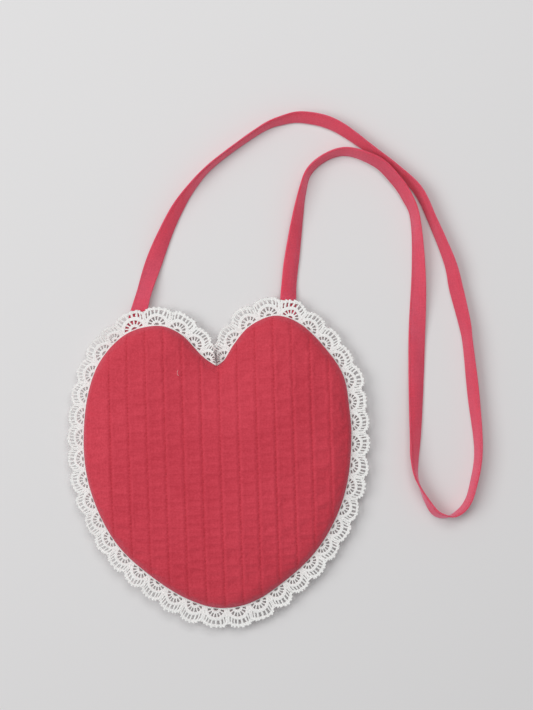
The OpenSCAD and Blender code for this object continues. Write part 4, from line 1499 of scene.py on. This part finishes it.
@dataclass
class HeartPurse:
    """The whole purse: its panels, their layers and stitching.

    Attributes:
        heart: the seam line.
        quilting: the lines of its quilting.
        edge_rise: how far the front's edge stands above the seam.
        swell_rise: how far the front swells up beside its edge.
        swell_reach: how far in from the edge it does so.
        dome_rise: how far the front's middle rises above that.
        dome_reach: how far in from the edge it does so.
        front_thickness: thickness of the front's cloth and backing.
        back_thickness: the same of the back.
        seam_width: how far in from the edge the front's hidden side lies flat.
        back_rise: how far the back's edge stands above the ground.
        back_reach: how far in from the edge the back comes down to it.
        fold_rise: how far the back's folds beside the zip stand above the ground.
        fold_reach: how far from the fold the back comes down to it.
        strap_dip: how far the back's edge dips over an end of the strap.
        layer_gap: distance of the layers at the back from the folds beside the zip.
        thread_margin: distance from the seam at which the quilting thread ends.
    """

    heart: HeartOutline = field(default_factory=HeartOutline)
    quilting: Quilting = Quilting()
    edge_rise: float = 0.8 * MM
    swell_rise: float = 5 * MM
    swell_reach: float = 10 * MM
    dome_rise: float = 7 * MM
    dome_reach: float = 60 * MM
    front_thickness: float = 1.9 * MM
    back_thickness: float = 0.8 * MM
    seam_width: float = 3 * MM
    back_rise: float = 5.8 * MM
    back_reach: float = 16 * MM
    fold_rise: float = 3.1 * MM
    fold_reach: float = 6 * MM
    strap_dip: float = 1.6 * MM
    layer_gap: float = 3 * MM
    thread_margin: float = 1.2 * MM

    def front_plain(self, flat: Array, away: Array) -> Array:
        """Height of the front between its quilting lines."""
        swollen = self.swell_rise * swell(away, self.swell_reach)
        return SEAM_TOP + self.edge_rise + swollen + self.dome_rise * dome(away, self.dome_reach)

    def front_hidden(self, flat: Array, away: Array) -> Array:
        """Height of the front's hidden side: flat in the seam, then close under the cloth."""
        within = np.clip((away - self.seam_width) / (1.5 * MM), 0, 1)
        return SEAM_TOP * (1 - within) + (self.front_plain(flat, away) - self.front_thickness) * within

    def back_plain(self, flat: Array, away: Array) -> Array:
        """Height of the back's outer side between its quilting lines."""
        fold = np.maximum(np.maximum(WINDOW_LOW - flat[:, 1], flat[:, 1] - WINDOW_HIGH), 0)
        at_seam = self.back_rise * (1 - swell(away, self.back_reach))
        height = np.maximum(at_seam, self.fold_rise * (1 - swell(fold, self.fold_reach)))
        dip = self.strap_dip * self.near_strap(flat, 5.5 * MM)
        return height - dip * np.clip(1 - away / (5 * MM), 0, 1)

    def back_hidden(self, flat: Array, away: Array) -> Array:
        """Height of the back's hidden side."""
        in_seam = np.clip(1 - (away - 2.5 * MM) / (1 * MM), 0, 1)
        in_seam = in_seam * (1 - np.clip(self.near_strap(flat, 6 * MM), 0, 1))
        return np.maximum(self.back_plain(flat, away) + self.back_thickness, SEAM_BOTTOM * in_seam)

    def near_strap(self, flat: Array, reach: float) -> Array:
        """How near each point of the upper half is to an end of the strap, sideways, from 0 to 1."""
        return sum(np.exp(-(((flat[:, 0] - x) / reach) ** 4)) for x in STRAP_X) * (flat[:, 1] > 0)

    def build_panels(self, cloth: Material) -> dict[str, QuiltedPanel]:
        """Makes the front and the two halves of the back."""
        whole = PanelCut(self.heart, self.quilting)
        panels = {"front": QuiltedPanel(
            "front_panel", "front_shell", Side.FRONT, whole, self.front_plain, 1.2 * MM, self.front_hidden,
        )}
        calm = ClothTest(pressure=1.0, spare=0.012, cap=1 * MM)
        for half, limit in (("lower", {"high": WINDOW_LOW}), ("upper", {"low": WINDOW_HIGH})):
            cut = PanelCut(self.heart, self.quilting, across=6, **limit)
            panels[half] = QuiltedPanel(
                f"back_panel_{half}", f"back_shell_{half}", Side.BACK, cut, self.back_plain, 0.7 * MM,
                self.back_hidden, calm,
            )
        for panel in panels.values():
            panel.build(cloth)
        return panels

    def layer(self, name: str, slot: str, inset: float, top: float, bottom: float) -> HiddenLayer:
        """Lays out wadding or lining in one part of the purse.

        Args:
            name: name of the piece, which tells its part of the purse.
            slot: material slot of the record.
            inset: how far inside the seam its edge lies.
            top: its upper side, above the front's outer cloth or above the ground.
            bottom: its lower side, likewise.

        Returns:
            The layer, not yet built.
        """
        limit = {}
        if name.endswith("lower"):
            limit = {"high": WINDOW_LOW - self.layer_gap}
        elif name.endswith("upper"):
            limit = {"low": WINDOW_HIGH + self.layer_gap}

        def side(rise: float) -> HeightField:
            """A height that follows the front's outer cloth, or the ground at the back."""
            if name.startswith("front"):
                return lambda flat, away: self.front_plain(flat, away) + rise
            return lambda flat, away: np.full(len(flat), rise)

        cut = PanelCut(self.heart, self.quilting, across=4, inset=inset, **limit)
        node = name.replace("_pad", "").replace("_cloth", "")
        return HiddenLayer(name, node, slot, cut, side(top), side(bottom))

    def build_layers(self, fleece: Material, lining: Material) -> None:
        """Makes the wadding and the lining inside."""
        for name, inset, top, bottom in (
            ("front_wadding_pad", 6.5, -2.3, -4.6),
            ("back_wadding_pad_lower", 6, 4.5, 2.4),
            ("back_wadding_pad_upper", 6, 4.5, 2.4),
        ):
            pad = self.layer(name, "wadding", inset * MM, top * MM, bottom * MM)
            pad.build(fleece)
        for name, inset, top, bottom, size, below in (
            ("front_lining_cloth", 4.8, -5.0, -5.5, (0.150, 0.164), "front_wadding_pad"),
            ("back_lining_cloth_lower", 8, 5.4, 4.9, (0.150, 0.116), "back_wadding_pad_lower"),
            ("back_lining_cloth_upper", 8, 5.4, 4.9, (0.138, 0.034), "back_wadding_pad_upper"),
        ):
            piece = self.layer(name, "lining_cotton", inset * MM, top * MM, bottom * MM).build(lining)

    def quilting_paths(self, panel: QuiltedPanel, low: float, high: float, sink: float) -> list[Array]:
        """Paths of the quilting thread on a panel."""
        paths = []
        for number in range(-self.quilting.count, self.quilting.count + 1):
            line = self.quilting.line(number, low, high)
            keep = self.heart.inside(line) & (self.heart.distance(line) > self.thread_margin)
            for run in np.split(np.arange(len(line)), np.flatnonzero(np.diff(keep)) + 1):
                if keep[run[0]] and len(run) > 3:
                    heights = panel.height_at(line[run]) + panel.side.value * sink
                    paths.append(np.column_stack([line[run], heights]))
        return paths

    def build_stitching(self, panels: dict[str, QuiltedPanel], strap: ShoulderStrap, red: Material,
                        strap_red: Material) -> Piece:
        """Makes the quilting thread, the rows beside the zip and the strap's topstitching."""
        tree = stitch_tree()
        half = self.heart.half_height
        front = self.quilting_paths(panels["front"], -half, half, 0.05 * MM)
        StitchRows("front_quilting_thread").build(tree, front, red, "red_cotton")
        back = self.quilting_paths(panels["lower"], -half, WINDOW_LOW - 2 * MM, 0.02 * MM)
        back += self.quilting_paths(panels["upper"], WINDOW_HIGH + 2 * MM, half, 0.02 * MM)
        for name, level, left, right in (
            ("lower", WINDOW_LOW - 1.6 * MM, -74 * MM, 76 * MM),
            ("upper", WINDOW_HIGH + 1.6 * MM, -72 * MM, 73 * MM),
        ):
            x = np.arange(left, right, 1.2 * MM)
            row = np.column_stack([x, np.full(len(x), level)])
            back.append(np.column_stack([row, panels[name].height_at(row) - 0.05 * MM]))
        StitchRows("back_seam_thread").build(tree, back, red, "red_cotton")
        rows = StitchRows("strap_topstitching", pitch=2.3 * MM, length=1.9 * MM, thickness=0.3 * MM)
        return rows.build(tree, strap.stitch_paths(), strap_red, "strap_cotton")

    def loose_thread(self, panel: QuiltedPanel, finish: Material) -> None:
        """Makes the short pale thread end that lies on the front."""
        bend = np.array([[0.5, 1.9], [0.1, 1.0], [0.0, 0.0], [0.3, -0.9], [0.9, -1.6]])
        flat = (np.array([-24.1, 54.1]) + bend) * MM
        line, _ = smooth_line(np.column_stack([flat, panel.height_at(flat) + 0.12 * MM]), 4, lead=0.0)
        curve = bpy.data.curves.new("loose_thread_end", "CURVE")
        curve.dimensions = "3D"
        curve.bevel_depth = 0.14 * MM
        curve.bevel_resolution = 2
        curve.use_fill_caps = True
        spline = curve.splines.new("POLY")
        spline.points.add(len(line) - 1)
        for point, place in zip(spline.points, line):
            point.co = (*place, 1.0)
        holder = linked("loose_thread_end", curve)
        mesh = bpy.data.meshes.new_from_object(holder)
        bpy.data.objects.remove(holder)
        dress(linked("loose_thread_end", mesh), finish)


def main() -> None:
    """Builds the scene: camera, light, floor, and the purse piece by piece."""
    logging.basicConfig(level=logging.INFO, format="%(name)s: %(message)s")
    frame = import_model()
    bpy.context.scene.view_settings.view_transform = "Standard"
    PhotoCamera().build()
    Daylight().build()
    Floor().build()

    red = WovenCotton(
        "red_cotton_cloth", linear(191, 47, 61), linear(221, 73, 88), crease_depth=0.18 * MM, quilted=True,
    ).build()
    strap_red = WovenCotton(
        "strap_cotton_cloth", linear(210, 69, 91), linear(236, 97, 119), source=Coordinates.UV,
        crease_depth=0.1 * MM, turn=math.radians(45), sheen=0.5, glow=0.9,
    ).build()
    thread_red = SpunThread("red_thread", linear(190, 48, 60), linear(220, 74, 88)).build()
    strap_thread = SpunThread("strap_thread", linear(200, 62, 80), linear(232, 96, 114)).build()
    lace_white = SpunThread("lace_cotton_cord", linear(236, 237, 234), linear(253, 254, 252)).build()
    loose = SpunThread("loose_thread_cotton", linear(214, 140, 144), linear(240, 190, 190)).build()
    lining = WovenCotton("lining_cotton_cloth", linear(206, 160, 160), linear(232, 196, 194)).build()

    purse = HeartPurse()
    strap = ShoulderStrap()
    ribbon = strap.build(strap_red)
    strap.build_ends(strap_red)
    panels = purse.build_panels(red)
    purse.build_layers(Fleece().build(), lining)
    LaceEdging(purse.heart).build(lace_tree(), lace_white)
    ZipFastener().build(frame, SatinBrass().build(), ZipTapeCloth().build())
    topstitching = purse.build_stitching(panels, strap, thread_red, strap_thread)
    purse.loose_thread(panels["front"], loose)


if __name__ == "__main__":
    main()
